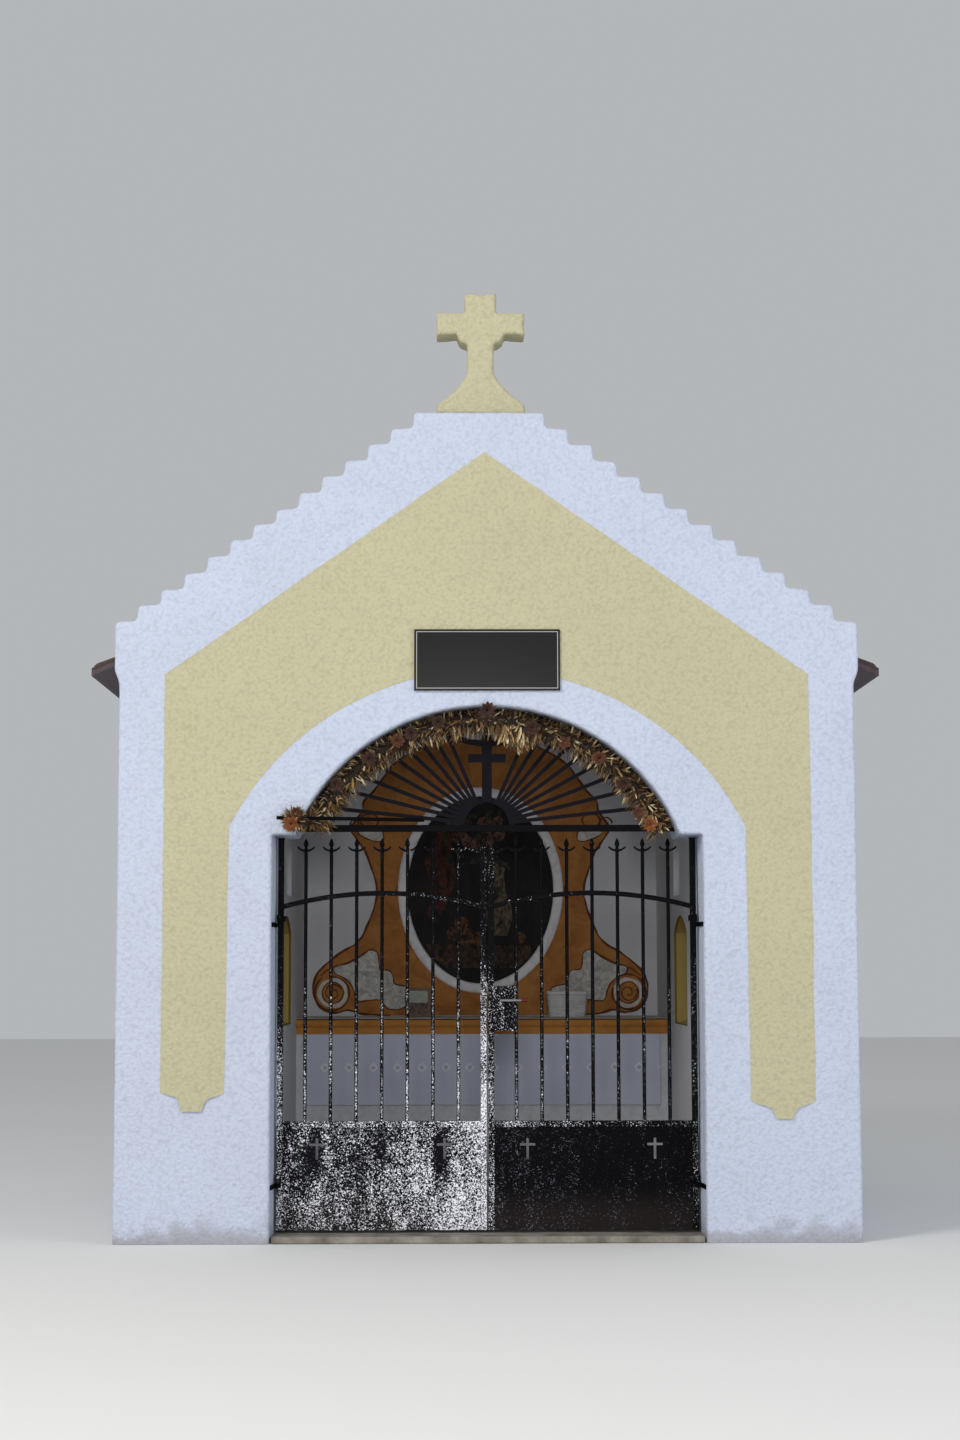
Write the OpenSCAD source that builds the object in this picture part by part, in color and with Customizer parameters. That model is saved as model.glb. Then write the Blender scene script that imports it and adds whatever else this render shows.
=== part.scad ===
// Wayside shrine: a small walk-in chapel of plastered masonry with a stepped gable,
// a barrel vault, a steep saddle roof and a two-leaf iron gate below a sunburst fanlight.
// Millimetres, +Z up, +Y towards the back. The origin is on the ground in the middle of the footprint.

/* [Walls] */
// Width of the front wall below its shoulders
facade_w = 3270; // [3100:10:3500]
// Depth from the front face to the back face
house_d = 3260; // [3100:10:3800]
// Thickness of the front wall
front_t = 400; // [330:10:420]
// Thickness of the back wall
back_t = 400; // [250:10:450]
// Width of the room between the side walls
room_w = 1970; // [1940:10:2100]
// How far the side walls stand back from the front wall's ends
side_setback = 35; // [10:5:80]
// Height of the door sill and the floor above the ground
sill_h = 30; // [20:2:60]

/* [Stepped gable] */
// How far the shoulder blocks stand out beyond the front wall's ends
block_over = 23; // [10:1:60]
// Height of the shoulder blocks' tops above the ground
shoulder_z = 2738; // [2700:10:2800]
// Height of a shoulder block's straight face
block_h = 234; // [160:10:300]
// Height of the sloping underside of a shoulder block
block_slope = 40; // [20:5:60]
// Height of the gable's top platform
gable_z = 3685; // [3680:5:3900]
// Width of the top platform
platform_w = 586; // [480:10:700]
// How far the platform stands to the left of the door's axis
gable_shift = 34; // [0:2:60]
// Number of steps on each side
step_n = 13; // [9:1:16]

/* [Gable cross] */
// Height of the cross above the platform
cross_h = 570; // [480:10:700]
// Width over the arms and over the foot
cross_w = 406; // [360:2:460]
// Width of the shaft
cross_shaft_w = 126; // [100:2:140]
// Width of the top arm
cross_top_w = 150; // [142:2:170]
// Thickness of the cross
cross_t = 150; // [100:10:200]
// Distance of the cross from the front face
cross_back = 60; // [20:5:160]

/* [Doorway] */
// Width of the doorway between the piers
door_w = 1890; // [1860:5:1920]
// Height of the arch's underside at the top
crown_z = 2356; // [2320:4:2380]
// Radius of the arch
arch_r = 922; // [900:2:935]
// Height where the arch starts above the piers
spring_z = 1782; // [1782:2:1800]
// How far the doorway widens from the gate to the front face, on each side
jamb_splay = 10; // [2:1:20]

/* [Vault and roof] */
// Height where the vault starts on the side walls
vault_spring_z = 1930; // [1900:10:1960]
// Height of the vault's underside at the top
vault_crown_z = 2710; // [2640:10:2760]
// Thickness of the vault
vault_t = 120; // [80:5:160]
// Distance of each eave from the middle
eave_x = 1820; // [1760:5:1900]
// Height of the roof's top edge at the eaves
eave_z = 2586; // [2560:2:2620]
// Slope of the main roof in degrees
roof_pitch = 31; // [28:0.5:32]
// Slope of the flatter strip along the eaves
kick_pitch = 24; // [18:1:28]
// Width of the flatter strip
kick_w = 320; // [200:10:420]
// Thickness of the roof boards, measured upright
board_t = 24; // [18:1:30]
// Thickness of the tile covering, measured upright
tile_t = 26; // [18:1:34]
// How far the roof stands out over the back wall
verge = 120; // [60:10:200]
// Number of ridge tiles
ridge_n = 8; // [5:1:12]

/* [Side windows and niches] */
// Width of a side window
win_w = 340; // [280:10:500]
// Height of a side window's sill
win_sill_z = 1560; // [1520:5:1600]
// Height of the top of a side window
win_top_z = 1870; // [1820:5:1890]
// Rise of a side window's arched head
win_rise = 70; // [60:5:130]
// Distance of the windows' middle from the front face
win_mid = 1620; // [1400:10:1700]
// Distance of the niches' middle from the front face
niche_mid = 1470; // [1300:10:1600]
// Width of a wall niche
niche_w = 700; // [500:10:900]
// Depth of a wall niche
niche_d = 120; // [60:5:200]
// Height of a niche's sill
niche_sill_z = 940; // [900:5:1000]
// Height of the top of a niche
niche_top_z = 1455; // [1440:5:1480]
// Rise of a niche's arched head
niche_rise = 85; // [60:5:200]
// Drop of the niche's sloping sill
niche_drop = 30; // [0:5:60]
// Width of a window frame's bars, seen from outside
win_bar = 36; // [24:2:50]
// Thickness of the window panes
pane_t = 4; // [3:0.5:6]

/* [Altar] */
// Depth of the altar's shelf
shelf_d = 644; // [500:4:800]
// Height of the top of the altar's shelf
shelf_z = 930; // [880:5:935]
// Thickness of the shelf
shelf_t = 84; // [50:2:110]
// How far the shelf stands out over the altar
shelf_over = 34; // [20:2:80]
// Length of the altar cloth's drop
cloth_drop = 376; // [250:2:500]
// How far the altar cloth ends short of the side walls
cloth_gap = 35; // [10:5:200]
// Height of the middle of the oval picture
oval_z = 1630; // [1600:2:1660]
// Width of the oval picture
oval_w = 812; // [720:2:850]
// Height of the oval picture
oval_h = 1040; // [960:2:1080]
// Width of the moulding round the picture
oval_ring = 56; // [30:2:70]
// Width of the plaque over the arch
plaque_w = 650; // [500:5:760]
// Height of the plaque
plaque_h = 275; // [200:5:300]
// Height of the plaque's lower edge
plaque_z = 2420; // [2400:5:2460]

/* [Gate] */
// Distance of the gate leaves' front from the front face
gate_front = 150; // [130:2:190]
// Gap between a leaf and the pier
jamb_gap = 10; // [6:1:16]
// Gap between the two leaves
leaf_gap = 8; // [7:1:14]
// Height of the leaves' lower edge above the sill
leaf_lift = 12; // [6:1:30]
// Width of the stiles and rails
stile = 26; // [20:1:32]
// Height of the hinge stiles' caps
cap_z = 1774; // [1760:2:1774]
// Number of spear bars in a leaf
bar_n = 7; // [5:1:9]
// Diameter of a spear bar
bar_d = 16; // [12:1:20]
// Distance of the first spear bar from the middle
bar_first = 129; // [110:1:150]
// Distance of the last spear bar from the middle
bar_last = 811; // [780:1:850]
// Height of the spear tips
spear_z = 1774; // [1760:2:1774]
// Height of a spear head
spear_h = 46; // [36:2:60]
// Width of a spear head
spear_w = 23; // [20:1:28]
// Span of the curved side blades of a spear
blade_span = 78; // [60:2:84]
// Span of the curved blades over the meeting stiles
meet_span = 164; // [110:2:170]
// Height of the top rail over the sheet panels
panel_z = 518; // [440:2:600]
// Thickness of the sheet panels
sheet_t = 3; // [2:0.5:5]
// Height of the curved rail at its ends
rail_z = 1460; // [1456:2:1500]
// Rise of the curved rail
rail_rise = 66; // [30:2:100]
// Height of the curved rail's bar
rail_h = 22; // [16:1:30]
// Thickness of the curved rail's bar
rail_t = 6; // [4:1:10]
// Height of a cross-shaped cut-out
cut_h = 92; // [60:2:120]
// Width of a cross-shaped cut-out
cut_w = 68; // [50:2:80]
// Width of a cut-out's strokes
cut_stroke = 11; // [8:1:16]
// Height of a cut-out's crossing
cut_z = 404; // [300:2:420]
// Distance of the inner cut-outs from the middle
cut_in = 184; // [120:2:260]
// Distance of the outer cut-outs from the middle
cut_out = 749; // [600:2:800]
// How far both pairs of cut-outs stand to the left of that
cut_shift = 7; // [0:1:20]

/* [Hinges and lock] */
// Diameter of a hinge pin
pin_d = 14; // [12:1:16]
// Clearance round a hinge pin, on the radius
pin_play = 0.6; // [0.4:0.1:1]
// Height of a hinge eye
eye_h = 34; // [26:2:40]
// Height of the upper hinges above the ground
upper_hinge_z = 1396; // [1300:4:1396]
// Height of the lower hinges above the ground
lower_hinge_z = 250; // [180:5:400]
// Width of the lock box
lock_w = 112; // [104:2:118]
// Height of the lock box
lock_h = 198; // [150:2:220]
// Depth of the lock box
lock_d = 34; // [24:1:40]
// Height of the lock box's lower edge
lock_z = 915; // [880:5:940]
// Length of the lever handle
lever_len = 114; // [90:2:130]

/* [Sunburst fanlight] */
// Height of the transom bar's lower edge
transom_z = 1802; // [1796:2:1812]
// Height of the transom bar
transom_h = 30; // [24:1:36]
// Thickness of the transom bar
transom_t = 22; // [16:1:30]
// Thickness of the fanlight's bars
fan_t = 12; // [8:1:16]
// Number of rays on each side
ray_n = 9; // [6:1:11]
// Angle of the lowest ray
ray_first = 6.3; // [5:0.1:9]
// Angle between two rays
ray_step = 7.5; // [6:0.1:8]
// Width of a ray
ray_w = 17; // [12:1:20]
// Outer radius of the half-round hub
hub_r = 122; // [90:2:140]
// Width of the hub's rim
hub_rim = 22; // [14:1:30]
// Width of the arched bar
fan_bar = 26; // [18:1:34]
// Height of the standing cross above the transom
fan_cross_h = 405; // [340:5:420]
// Width over the standing cross's arms
fan_cross_w = 170; // [130:2:200]
// Width of the standing cross's bars
fan_cross_bar = 44; // [36:1:50]
// Thickness of the garland tied along the arch
garland_d = 112; // [90:2:120]
// Height of the rod that carries the garland's left end
rod_z = 1853; // [1850:1:1862]
// Diameter of that rod
rod_d = 16; // [10:1:18]

/* [Hidden] */

front_y = -house_d / 2;
back_in = house_d - back_t;
body_w = facade_w - 2 * side_setback;
block_w = facade_w + 2 * block_over;
shelf_front = back_in - shelf_d;
cloth_w = room_w - 2 * cloth_gap;
room_d = back_in - front_t;
arch_cz = crown_z - arch_r;

// Half width of the arch at height z
function arch_half(z) = sqrt(arch_r * arch_r - (z - arch_cz) * (z - arch_cz));

// Radius of an arc from its half span and its rise
function arc_r(half, rise) = (half * half + rise * rise) / (2 * rise);

// Moves to a distance behind the front face
module behind(d) {
    translate([0, front_y + d, 0]) children();
}

// Extrudes an upright outline, drawn as X and Z, towards the back
module upright(t) {
    translate([0, t, 0]) rotate([90, 0, 0]) linear_extrude(t) children();
}

// Extrudes an upright outline, drawn as Y and Z, towards +X
module sideways(t) {
    rotate([90, 0, 90]) linear_extrude(t) children();
}

// A piece of the left half, or its mirror image on the right
module on_side(side) {
    if (side < 0) children();
    else mirror([1, 0, 0]) children();
}

// Outline with a straight foot and an arched head, centred on X
module arched_outline(w, low, top, rise) {
    r = arc_r(w / 2, rise);
    translate([-w / 2, low]) square([w, top - rise - low]);
    intersection() {
        translate([0, top - r]) circle(r, $fn = 64);
        translate([-w / 2, top - rise - 1]) square([w, rise + 2]);
    }
}

// Front wall

// The doorway widens a little from the gate to the front face
module pier(side) {
    color("white") on_side(side) behind(0) linear_extrude(spring_z)
        polygon([[-facade_w / 2, 0], [-door_w / 2 - jamb_splay, 0], [-door_w / 2, gate_front],
            [-door_w / 2, front_t], [-facade_w / 2, front_t]]);
}

module left_pier() pier(-1);

module right_pier() pier(1);

riser = (gable_z - shoulder_z) / step_n;
platform_left = -gable_shift - platform_w / 2;
platform_right = -gable_shift + platform_w / 2;
tread_left = (platform_left + block_w / 2) / step_n;
tread_right = (block_w / 2 - platform_right) / step_n;

module gable_outline() {
    block_low = shoulder_z - block_h;
    polygon(concat(
        [[-facade_w / 2, spring_z], [-facade_w / 2, block_low - block_slope], [-block_w / 2, block_low],
            [-block_w / 2, shoulder_z]],
        [for (i = [1 : step_n], k = [-1, 0])
            [-block_w / 2 + i * tread_left, shoulder_z + (i + k) * riser]],
        [for (i = [step_n : -1 : 1], k = [0, -1])
            [block_w / 2 - i * tread_right, shoulder_z + (i + k) * riser]],
        [[block_w / 2, shoulder_z], [block_w / 2, block_low], [facade_w / 2, block_low - block_slope],
            [facade_w / 2, spring_z]]
    ));
}

module arched_gable() {
    color("white") behind(0) difference() {
        upright(front_t) gable_outline();
        translate([0, -1, arch_cz]) rotate([-90, 0, 0]) cylinder(h = front_t + 2, r = arch_r, $fn = 128);
    }
}

// The gable cross has a flared foot, rounded corners under its arms and a notch in the head and in one arm.
// The corners' circles bite a little into the shaft and the arms, so that none only touches them.
module cross_outline() {
    half = cross_w / 2;
    neck = cross_shaft_w / 2;
    foot_low = 52;
    foot_top = 192;
    flare_sag = 13;
    flare_chord = norm([half - neck, foot_top - foot_low]);
    flare_r = arc_r(flare_chord / 2, flare_sag);
    flare_off = (flare_r - flare_sag) / flare_chord;
    arm_low = cross_h - 195;
    arm_h = 104;
    corner_r = 46;
    bite = 1;
    tip_drop = 8;
    notch_r = 18;
    arm_top = arm_low + arm_h;
    head = cross_top_w / 2;
    right_half = [[half, 0], [half, foot_low], [neck, foot_top], [neck, arm_low - corner_r],
        [neck + corner_r, arm_low - corner_r], [neck + corner_r, arm_low], [half, arm_low - tip_drop],
        [half, arm_top], [head, arm_top], [head, cross_h]];
    difference() {
        polygon(concat(right_half, [for (i = [len(right_half) - 1 : -1 : 0]) [-right_half[i].x, right_half[i].y]]));
        for (s = [-1, 1]) {
            intersection() {
                translate([s * ((half + neck) / 2 + flare_off * (foot_top - foot_low)),
                    (foot_low + foot_top) / 2 + flare_off * (half - neck)]) circle(flare_r, $fn = 128);
                translate([-half, foot_low]) square([2 * half, foot_top - foot_low]);
            }
            translate([s * (neck + corner_r - bite), arm_low - corner_r + bite]) circle(corner_r, $fn = 64);
        }
        translate([half + 5, arm_low + arm_h * 0.42]) circle(notch_r * 0.8, $fn = 32);
        translate([4, cross_h + 2]) circle(notch_r, $fn = 32);
    }
}

module gable_cross() {
    color("khaki") behind(cross_back) translate([-gable_shift + 8, 0, gable_z]) upright(cross_t) cross_outline();
}

module plaque() {
    color("black") behind(-12) translate([-plaque_w / 2, 0, plaque_z]) cube([plaque_w, 12, plaque_h]);
}

// Side walls, back wall and floor

roof_t = board_t + tile_t;
kick_x = eave_x - kick_w;
kick_z = eave_z + kick_w * tan(kick_pitch);
ridge_z = kick_z + kick_x * tan(roof_pitch);

// Height of the roof's top at a distance x from the middle
function roof_top(x) = x > kick_x ? eave_z + (eave_x - x) * tan(kick_pitch)
    : ridge_z - x * tan(roof_pitch);

vault_r = arc_r(room_w / 2, vault_crown_z - vault_spring_z);
vault_cz = vault_crown_z - vault_r;
vault_out_x = sqrt(pow(vault_r + vault_t, 2) - pow(vault_spring_z - vault_cz, 2));

// Room left between the vault's back and the side wall above it
vault_play = 12;

// Thin bed between the walls' tops and the roof boards
roof_bed = 0.2;

function wall_top(x) = roof_top(x) - roof_t - roof_bed;

module side_wall_profile() {
    set_x = vault_out_x + vault_play;
    polygon([[-body_w / 2, 0], [-room_w / 2, 0], [-room_w / 2, vault_spring_z], [-set_x, vault_spring_z],
        [-set_x, wall_top(set_x)], [-kick_x, wall_top(kick_x)], [-body_w / 2, wall_top(body_w / 2)]]);
}

module side_wall(side) {
    color("white") on_side(side) behind(0) difference() {
        translate([0, front_t, 0]) upright(room_d) side_wall_profile();
        translate([-body_w / 2 - 1, win_mid, 0]) sideways(body_w / 2)
            arched_outline(win_w, win_sill_z, win_top_z, win_rise);
        translate([-room_w / 2 - niche_d, niche_mid, 0]) sideways(niche_d + 1)
            arched_outline(niche_w, niche_sill_z, niche_top_z, niche_rise);
        translate([-room_w / 2, niche_mid - niche_w / 2, niche_sill_z]) upright(niche_w)
            polygon([[-niche_d, 0], [-niche_d, 1], [1, 1], [1, -niche_drop]]);
    }
}

module left_side_wall() side_wall(-1);

module right_side_wall() side_wall(1);

module back_wall() {
    color("white") behind(back_in) upright(back_t)
        polygon([[-body_w / 2, 0], [body_w / 2, 0], [body_w / 2, wall_top(body_w / 2)], [kick_x, wall_top(kick_x)],
            [0, ridge_z - roof_t - roof_bed], [-kick_x, wall_top(kick_x)], [-body_w / 2, wall_top(body_w / 2)]]);
}

module threshold() {
    color("lightgray") behind(0) translate([-door_w / 2, 0, 0]) cube([door_w, front_t, sill_h]);
}

module floor() {
    color("gray") behind(front_t) translate([-room_w / 2, 0, 0]) cube([room_w, room_d, sill_h]);
}

// Vault and roof

module vault() {
    color("whitesmoke") behind(front_t) intersection() {
        difference() {
            translate([0, 0, vault_cz]) rotate([-90, 0, 0]) cylinder(h = room_d, r = vault_r + vault_t, $fn = 128);
            translate([0, -1, vault_cz]) rotate([-90, 0, 0]) cylinder(h = room_d + 2, r = vault_r, $fn = 128);
        }
        translate([-room_w, -1, vault_spring_z]) cube([2 * room_w, room_d + 2, room_w]);
    }
}

// Outline of one roof layer on the left, from a height above the underside to another
module roof_outline(low, high) {
    polygon([
        [-eave_x, eave_z - roof_t + low], [-kick_x, kick_z - roof_t + low], [0, ridge_z - roof_t + low],
        [0, ridge_z - roof_t + high], [-kick_x, kick_z - roof_t + high], [-eave_x, eave_z - roof_t + high]
    ]);
}

module roof_layer(side, low, high) {
    on_side(side) behind(front_t) upright(house_d - front_t + verge) roof_outline(low, high);
}

module left_roof_boards() color("saddlebrown") roof_layer(-1, 0, board_t);

module right_roof_boards() color("saddlebrown") roof_layer(1, 0, board_t);

module left_roof_tiles() color("maroon") roof_layer(-1, board_t, roof_t);

module right_roof_tiles() color("maroon") roof_layer(1, board_t, roof_t);

// Ridge tiles lie on the tops of both slopes, each with a thicker collar at one end
module ridge_tiles() {
    ridge_len = house_d - front_t + verge;
    pitch = ridge_len / ridge_n;
    tile_r = 82;
    collar = 45;
    drop = 62;
    color("maroon") behind(front_t) difference() {
        translate([0, 0, ridge_z - drop]) rotate([-90, 0, 0]) {
            cylinder(h = ridge_len, r = tile_r, $fn = 48);
            for (i = [0 : ridge_n - 1])
                translate([0, 0, i * pitch]) cylinder(h = collar, r = tile_r + 9, $fn = 48);
        }
        translate([0, -1, 0]) upright(ridge_len + 2)
            polygon([[-kick_x, kick_z], [0, ridge_z], [kick_x, kick_z]]);
    }
}

// Altar and what stands on it

module altar_block() {
    color("white") behind(shelf_front + shelf_over)
        translate([-room_w / 2, 0, sill_h])
            cube([room_w, back_in - shelf_front - shelf_over, shelf_z - shelf_t - sill_h]);
}

// The shelf's front has a round nosing, and a lower board a little behind it
module altar_shelf() {
    nose_r = shelf_t * 0.3;
    board_back = nose_r * 0.7;
    color("peru") behind(shelf_front) translate([-room_w / 2, 0, 0]) sideways(room_w) union() {
        translate([nose_r, shelf_z - nose_r]) circle(nose_r, $fn = 32);
        translate([nose_r, shelf_z - 2 * nose_r]) square([shelf_d - nose_r, 2 * nose_r]);
        translate([board_back, shelf_z - shelf_t]) square([shelf_d - board_back, shelf_t - nose_r]);
    }
}

module altar_cloth() {
    cloth_t = 10;
    color("white") behind(shelf_front + shelf_over - cloth_t)
        translate([-cloth_w / 2, 0, shelf_z - shelf_t - cloth_drop]) cube([cloth_w, cloth_t, cloth_drop]);
}

module oval(w, h) {
    scale([w / h, 1]) circle(h / 2, $fn = 96);
}

module oval_picture() {
    picture_t = 18;
    color("dimgray") behind(back_in - picture_t) translate([0, 0, oval_z]) upright(picture_t) oval(oval_w, oval_h);
}

module oval_moulding() {
    moulding_t = 30;
    color("white") behind(back_in - moulding_t) translate([0, 0, oval_z]) upright(moulding_t) difference() {
        oval(oval_w + 2 * oval_ring, oval_h + 2 * oval_ring);
        oval(oval_w, oval_h);
    }
}

// Window box for flowers, open at the top
module planter() {
    planter_x = 460;
    planter_w = 226;
    planter_d = 130;
    planter_h = 139;
    planter_back = 384;
    wall = 6;
    color("white") behind(back_in - planter_back - planter_d) translate([planter_x, 0, shelf_z]) difference() {
        translate([-planter_w / 2, 0, 0]) cube([planter_w, planter_d, planter_h]);
        translate([-planter_w / 2 + wall, wall, wall])
            cube([planter_w - 2 * wall, planter_d - 2 * wall, planter_h]);
    }
}

module framed_card() {
    card_x = -345;
    card_w = 138;
    card_h = 156;
    card_t = 22;
    card_back = 222;
    color("tan") behind(back_in - card_back - card_t)
        translate([card_x - card_w / 2, 0, shelf_z]) cube([card_w, card_t, card_h]);
}

// Side windows

// Distance of the window frames from the wall's outer face
frame_inset = 330;
frame_d = 44;

module window_frame(side) {
    color("saddlebrown") on_side(side) behind(win_mid) translate([-body_w / 2 + frame_inset, 0, 0])
        sideways(frame_d) {
            difference() {
                arched_outline(win_w, win_sill_z, win_top_z, win_rise);
                arched_outline(win_w - 2 * win_bar, win_sill_z + win_bar, win_top_z - win_bar, win_rise * 0.85);
            }
            translate([-win_bar / 3, win_sill_z + win_bar - 1])
                square([win_bar * 2 / 3, win_top_z - win_sill_z - 2 * win_bar + 4]);
        }
}

module window_pane(side) {
    gap = 1;
    color("lightblue") on_side(side) behind(win_mid)
        translate([-body_w / 2 + frame_inset + frame_d, 0, 0]) sideways(pane_t)
            arched_outline(win_w - 2 * gap, win_sill_z + gap, win_top_z - gap, win_rise);
}

module left_window_frame() window_frame(-1);

module right_window_frame() window_frame(1);

module left_window_pane() window_pane(-1);

module right_window_pane() window_pane(1);

// Sunburst fanlight, fixed in the arch

fan_front = gate_front + 6;
hub_z = transom_z + transom_h;

// Flat bar from one haunch of the arch to the other
module transom_bar() {
    color("black") behind(fan_front) upright(transom_t) intersection() {
        translate([0, arch_cz]) circle(arch_r, $fn = 128);
        translate([-arch_r, transom_z]) square([2 * arch_r, transom_h]);
    }
}

// Half-round hub, rays and arched bar welded flat, standing on the transom bar.
// A bowed brace hangs in the arched bar behind the cross.
module sunburst_grille() {
    brace_r = 373;
    brace_low = 2186;
    brace_w = 25;
    color("black") behind(fan_front) upright(fan_t) difference() {
        union() {
            difference() {
                translate([0, arch_cz]) circle(arch_r, $fn = 128);
                translate([0, arch_cz]) circle(arch_r - fan_bar, $fn = 128);
            }
            translate([0, hub_z]) circle(hub_r, $fn = 64);
            intersection() {
                translate([0, arch_cz]) circle(arch_r - fan_bar / 2, $fn = 128);
                union() {
                    for (s = [-1, 1], i = [0 : ray_n - 1])
                        translate([0, hub_z])
                            rotate(s > 0 ? ray_first + i * ray_step : 180 - ray_first - i * ray_step)
                                translate([hub_r - hub_rim / 2, -ray_w / 2]) square([arch_r, ray_w]);
                    translate([0, brace_low + brace_r]) difference() {
                        circle(brace_r, $fn = 128);
                        circle(brace_r - brace_w, $fn = 128);
                    }
                }
            }
        }
        translate([0, hub_z - 1]) circle(hub_r - hub_rim, $fn = 64);
        translate([-arch_r - 10, arch_cz - arch_r - 10]) square([2 * arch_r + 20, hub_z - arch_cz + arch_r + 10]);
    }
}

// Standing cross in front of the rays, with its foot on the hub's rim
module sunburst_cross() {
    cross_t = 8;
    foot_z = hub_r - hub_rim;
    arm_z = fan_cross_h * 0.74;
    arm_h = fan_cross_bar * 0.86;
    color("black") behind(fan_front - cross_t) translate([0, 0, hub_z]) upright(cross_t) {
        translate([-fan_cross_bar / 2, foot_z]) square([fan_cross_bar, fan_cross_h - foot_z]);
        translate([-fan_cross_w / 2, arm_z - arm_h / 2]) square([fan_cross_w, arm_h]);
    }
}

// Thin rod from the front of the wall, past the arch's edge, to the lowest rays
rod_edge = arch_half(rod_z);
rod_end_x = 283;
rod_slope = (fan_front + 2) / (rod_edge - rod_end_x);

module rod_line(d) {
    reach = 108;
    len_x = rod_edge + reach - rod_end_x;
    translate([-rod_end_x, fan_front - rod_d / 2 - 1, rod_z]) rotate([0, 0, atan(rod_slope)]) rotate([0, -90, 0])
        cylinder(h = len_x * norm([1, rod_slope]), d = d, $fn = 32);
}

module garland_rod() {
    color("black") behind(0) rod_line(rod_d);
}

// The arch's masonry on the left, for the garland to lie against
module left_haunch() {
    difference() {
        translate([-facade_w / 2, 0, spring_z - 100]) cube([facade_w / 2, front_t, crown_z - spring_z]);
        translate([0, -1, arch_cz]) rotate([-90, 0, 0]) cylinder(h = front_t + 2, r = arch_r - 2, $fn = 128);
    }
}

// Garland of dried husks, tied along the arch in front of the fanlight.
// Its left end comes forward round the arch's edge to the rod.
module garland() {
    first = 26;
    last = 154;
    garland_r = garland_d / 2;
    path_r = arch_r - garland_r - 3;
    end_r = 54;
    end_in = rod_edge - 37;
    end_out = rod_edge + 31;
    color("burlywood") behind(0) difference() {
        union() {
            translate([0, fan_front - garland_r, arch_cz]) rotate([90, 0, 0]) rotate([0, 0, first])
                rotate_extrude(angle = last - first, $fn = 96) translate([path_r, 0]) circle(garland_r, $fn = 24);
            difference() {
                union() {
                    translate([-end_in, 50, rod_z - 8]) sphere(r = end_r, $fn = 48);
                    translate([-end_out, -28, rod_z - 8]) sphere(r = end_r + 2, $fn = 48);
                }
                left_haunch();
            }
        }
        rod_line(rod_d);
    }
}

// Gate leaves, drawn for the left side

leaf_out = door_w / 2 - jamb_gap;
leaf_in = leaf_gap / 2;
leaf_low = sill_h + leaf_lift;
leaf_w = leaf_out - leaf_in;
bar_pitch = (bar_last - bar_first) / (bar_n - 1);
hinge_x = leaf_out - 10;
hinge_y = gate_front - pin_d / 2 - 10;

// How far the sheet lies behind the frame's front
sheet_in = 4;

// Leaf-shaped head turned about the bar's axis
module spear_head() {
    neck = bar_d * 0.3;
    rotate_extrude($fn = 24) polygon([[0, 0], [neck, 0], [spear_w / 2, spear_h * 0.36], [spear_w * 0.3, spear_h * 0.72],
        [0, spear_h]]);
}

// Two curved blades below the head, like a new moon lying on its back
module spear_blades(span) {
    blade_t = 7;
    blade_h = 9;
    rise = 18;
    inner_r = arc_r(span / 2, rise);
    translate([0, blade_t / 2, 0]) rotate([90, 0, 0]) linear_extrude(blade_t) difference() {
        translate([0, inner_r - blade_h]) intersection() {
            circle(inner_r, $fn = 64);
            translate([-span / 2, -inner_r - 1]) square([span, rise + blade_h]);
        }
        translate([0, inner_r + 1]) circle(inner_r, $fn = 64);
    }
}

module spear_bar(z0) {
    neck_z = spear_z - spear_h;
    translate([0, 0, z0]) cylinder(h = neck_z - z0 + 1, d = bar_d, $fn = 24);
    translate([0, 0, neck_z]) spear_head();
    translate([0, 0, neck_z - 8]) spear_blades(blade_span);
}

// Hinge stile with a mushroom cap
module hinge_stile() {
    translate([-leaf_out, 0, leaf_low]) cube([stile, stile, cap_z - leaf_low - 8]);
    translate([-leaf_out + stile / 2, stile / 2, cap_z - 14]) cylinder(h = 14, d1 = stile - 3, d2 = stile + 9, $fn = 32);
}

// The meeting stile ends in one half of the curved blades that both leaves share
module meeting_stile() {
    blade_z = spear_z - 62;
    translate([-leaf_in - stile, 0, leaf_low]) cube([stile, stile, spear_z - 28 - leaf_low]);
    intersection() {
        translate([0, bar_d / 2, blade_z]) spear_blades(meet_span);
        translate([-meet_span, 0, blade_z - 30]) cube([meet_span - leaf_in, bar_d, 90]);
    }
}

// The spear bars and the top rail are flush with the stiles, and the bottom rail stands behind the sheet
module leaf_grille() {
    hinge_stile();
    meeting_stile();
    translate([-leaf_out + 1, 0, panel_z - stile]) cube([leaf_w - 2, stile, stile]);
    translate([-leaf_out + 1, sheet_in + sheet_t, leaf_low]) cube([leaf_w - 2, stile - sheet_in - sheet_t, stile]);
    for (i = [0 : bar_n - 1])
        translate([-bar_first - i * bar_pitch, bar_d / 2, 0]) spear_bar(panel_z - 2);
}

// Curved flat bar laid on the bars' front
module leaf_rail() {
    half = leaf_w / 2;
    r = arc_r(half, rail_rise);
    translate([-leaf_in - half, 0, rail_z + rail_rise - r]) upright(rail_t) intersection() {
        difference() {
            circle(r + rail_h / 2, $fn = 128);
            circle(r - rail_h / 2, $fn = 128);
        }
        translate([-half, r - rail_rise - rail_h]) square([2 * half, rail_rise + 2 * rail_h]);
    }
}

module cut_cross() {
    translate([-cut_stroke / 2, -cut_h * 0.58]) square([cut_stroke, cut_h]);
    translate([-cut_w / 2, -cut_stroke / 2 + cut_h * 0.12]) square([cut_w, cut_stroke]);
}

// Sheet panel set into the frame, with two cross-shaped cut-outs
module leaf_panel(shift) {
    upright(sheet_t) difference() {
        translate([-leaf_out + stile, leaf_low]) square([leaf_w - 2 * stile, panel_z - stile - leaf_low]);
        for (x = [cut_in, cut_out]) translate([-x - shift, cut_z]) cut_cross();
    }
}

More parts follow.
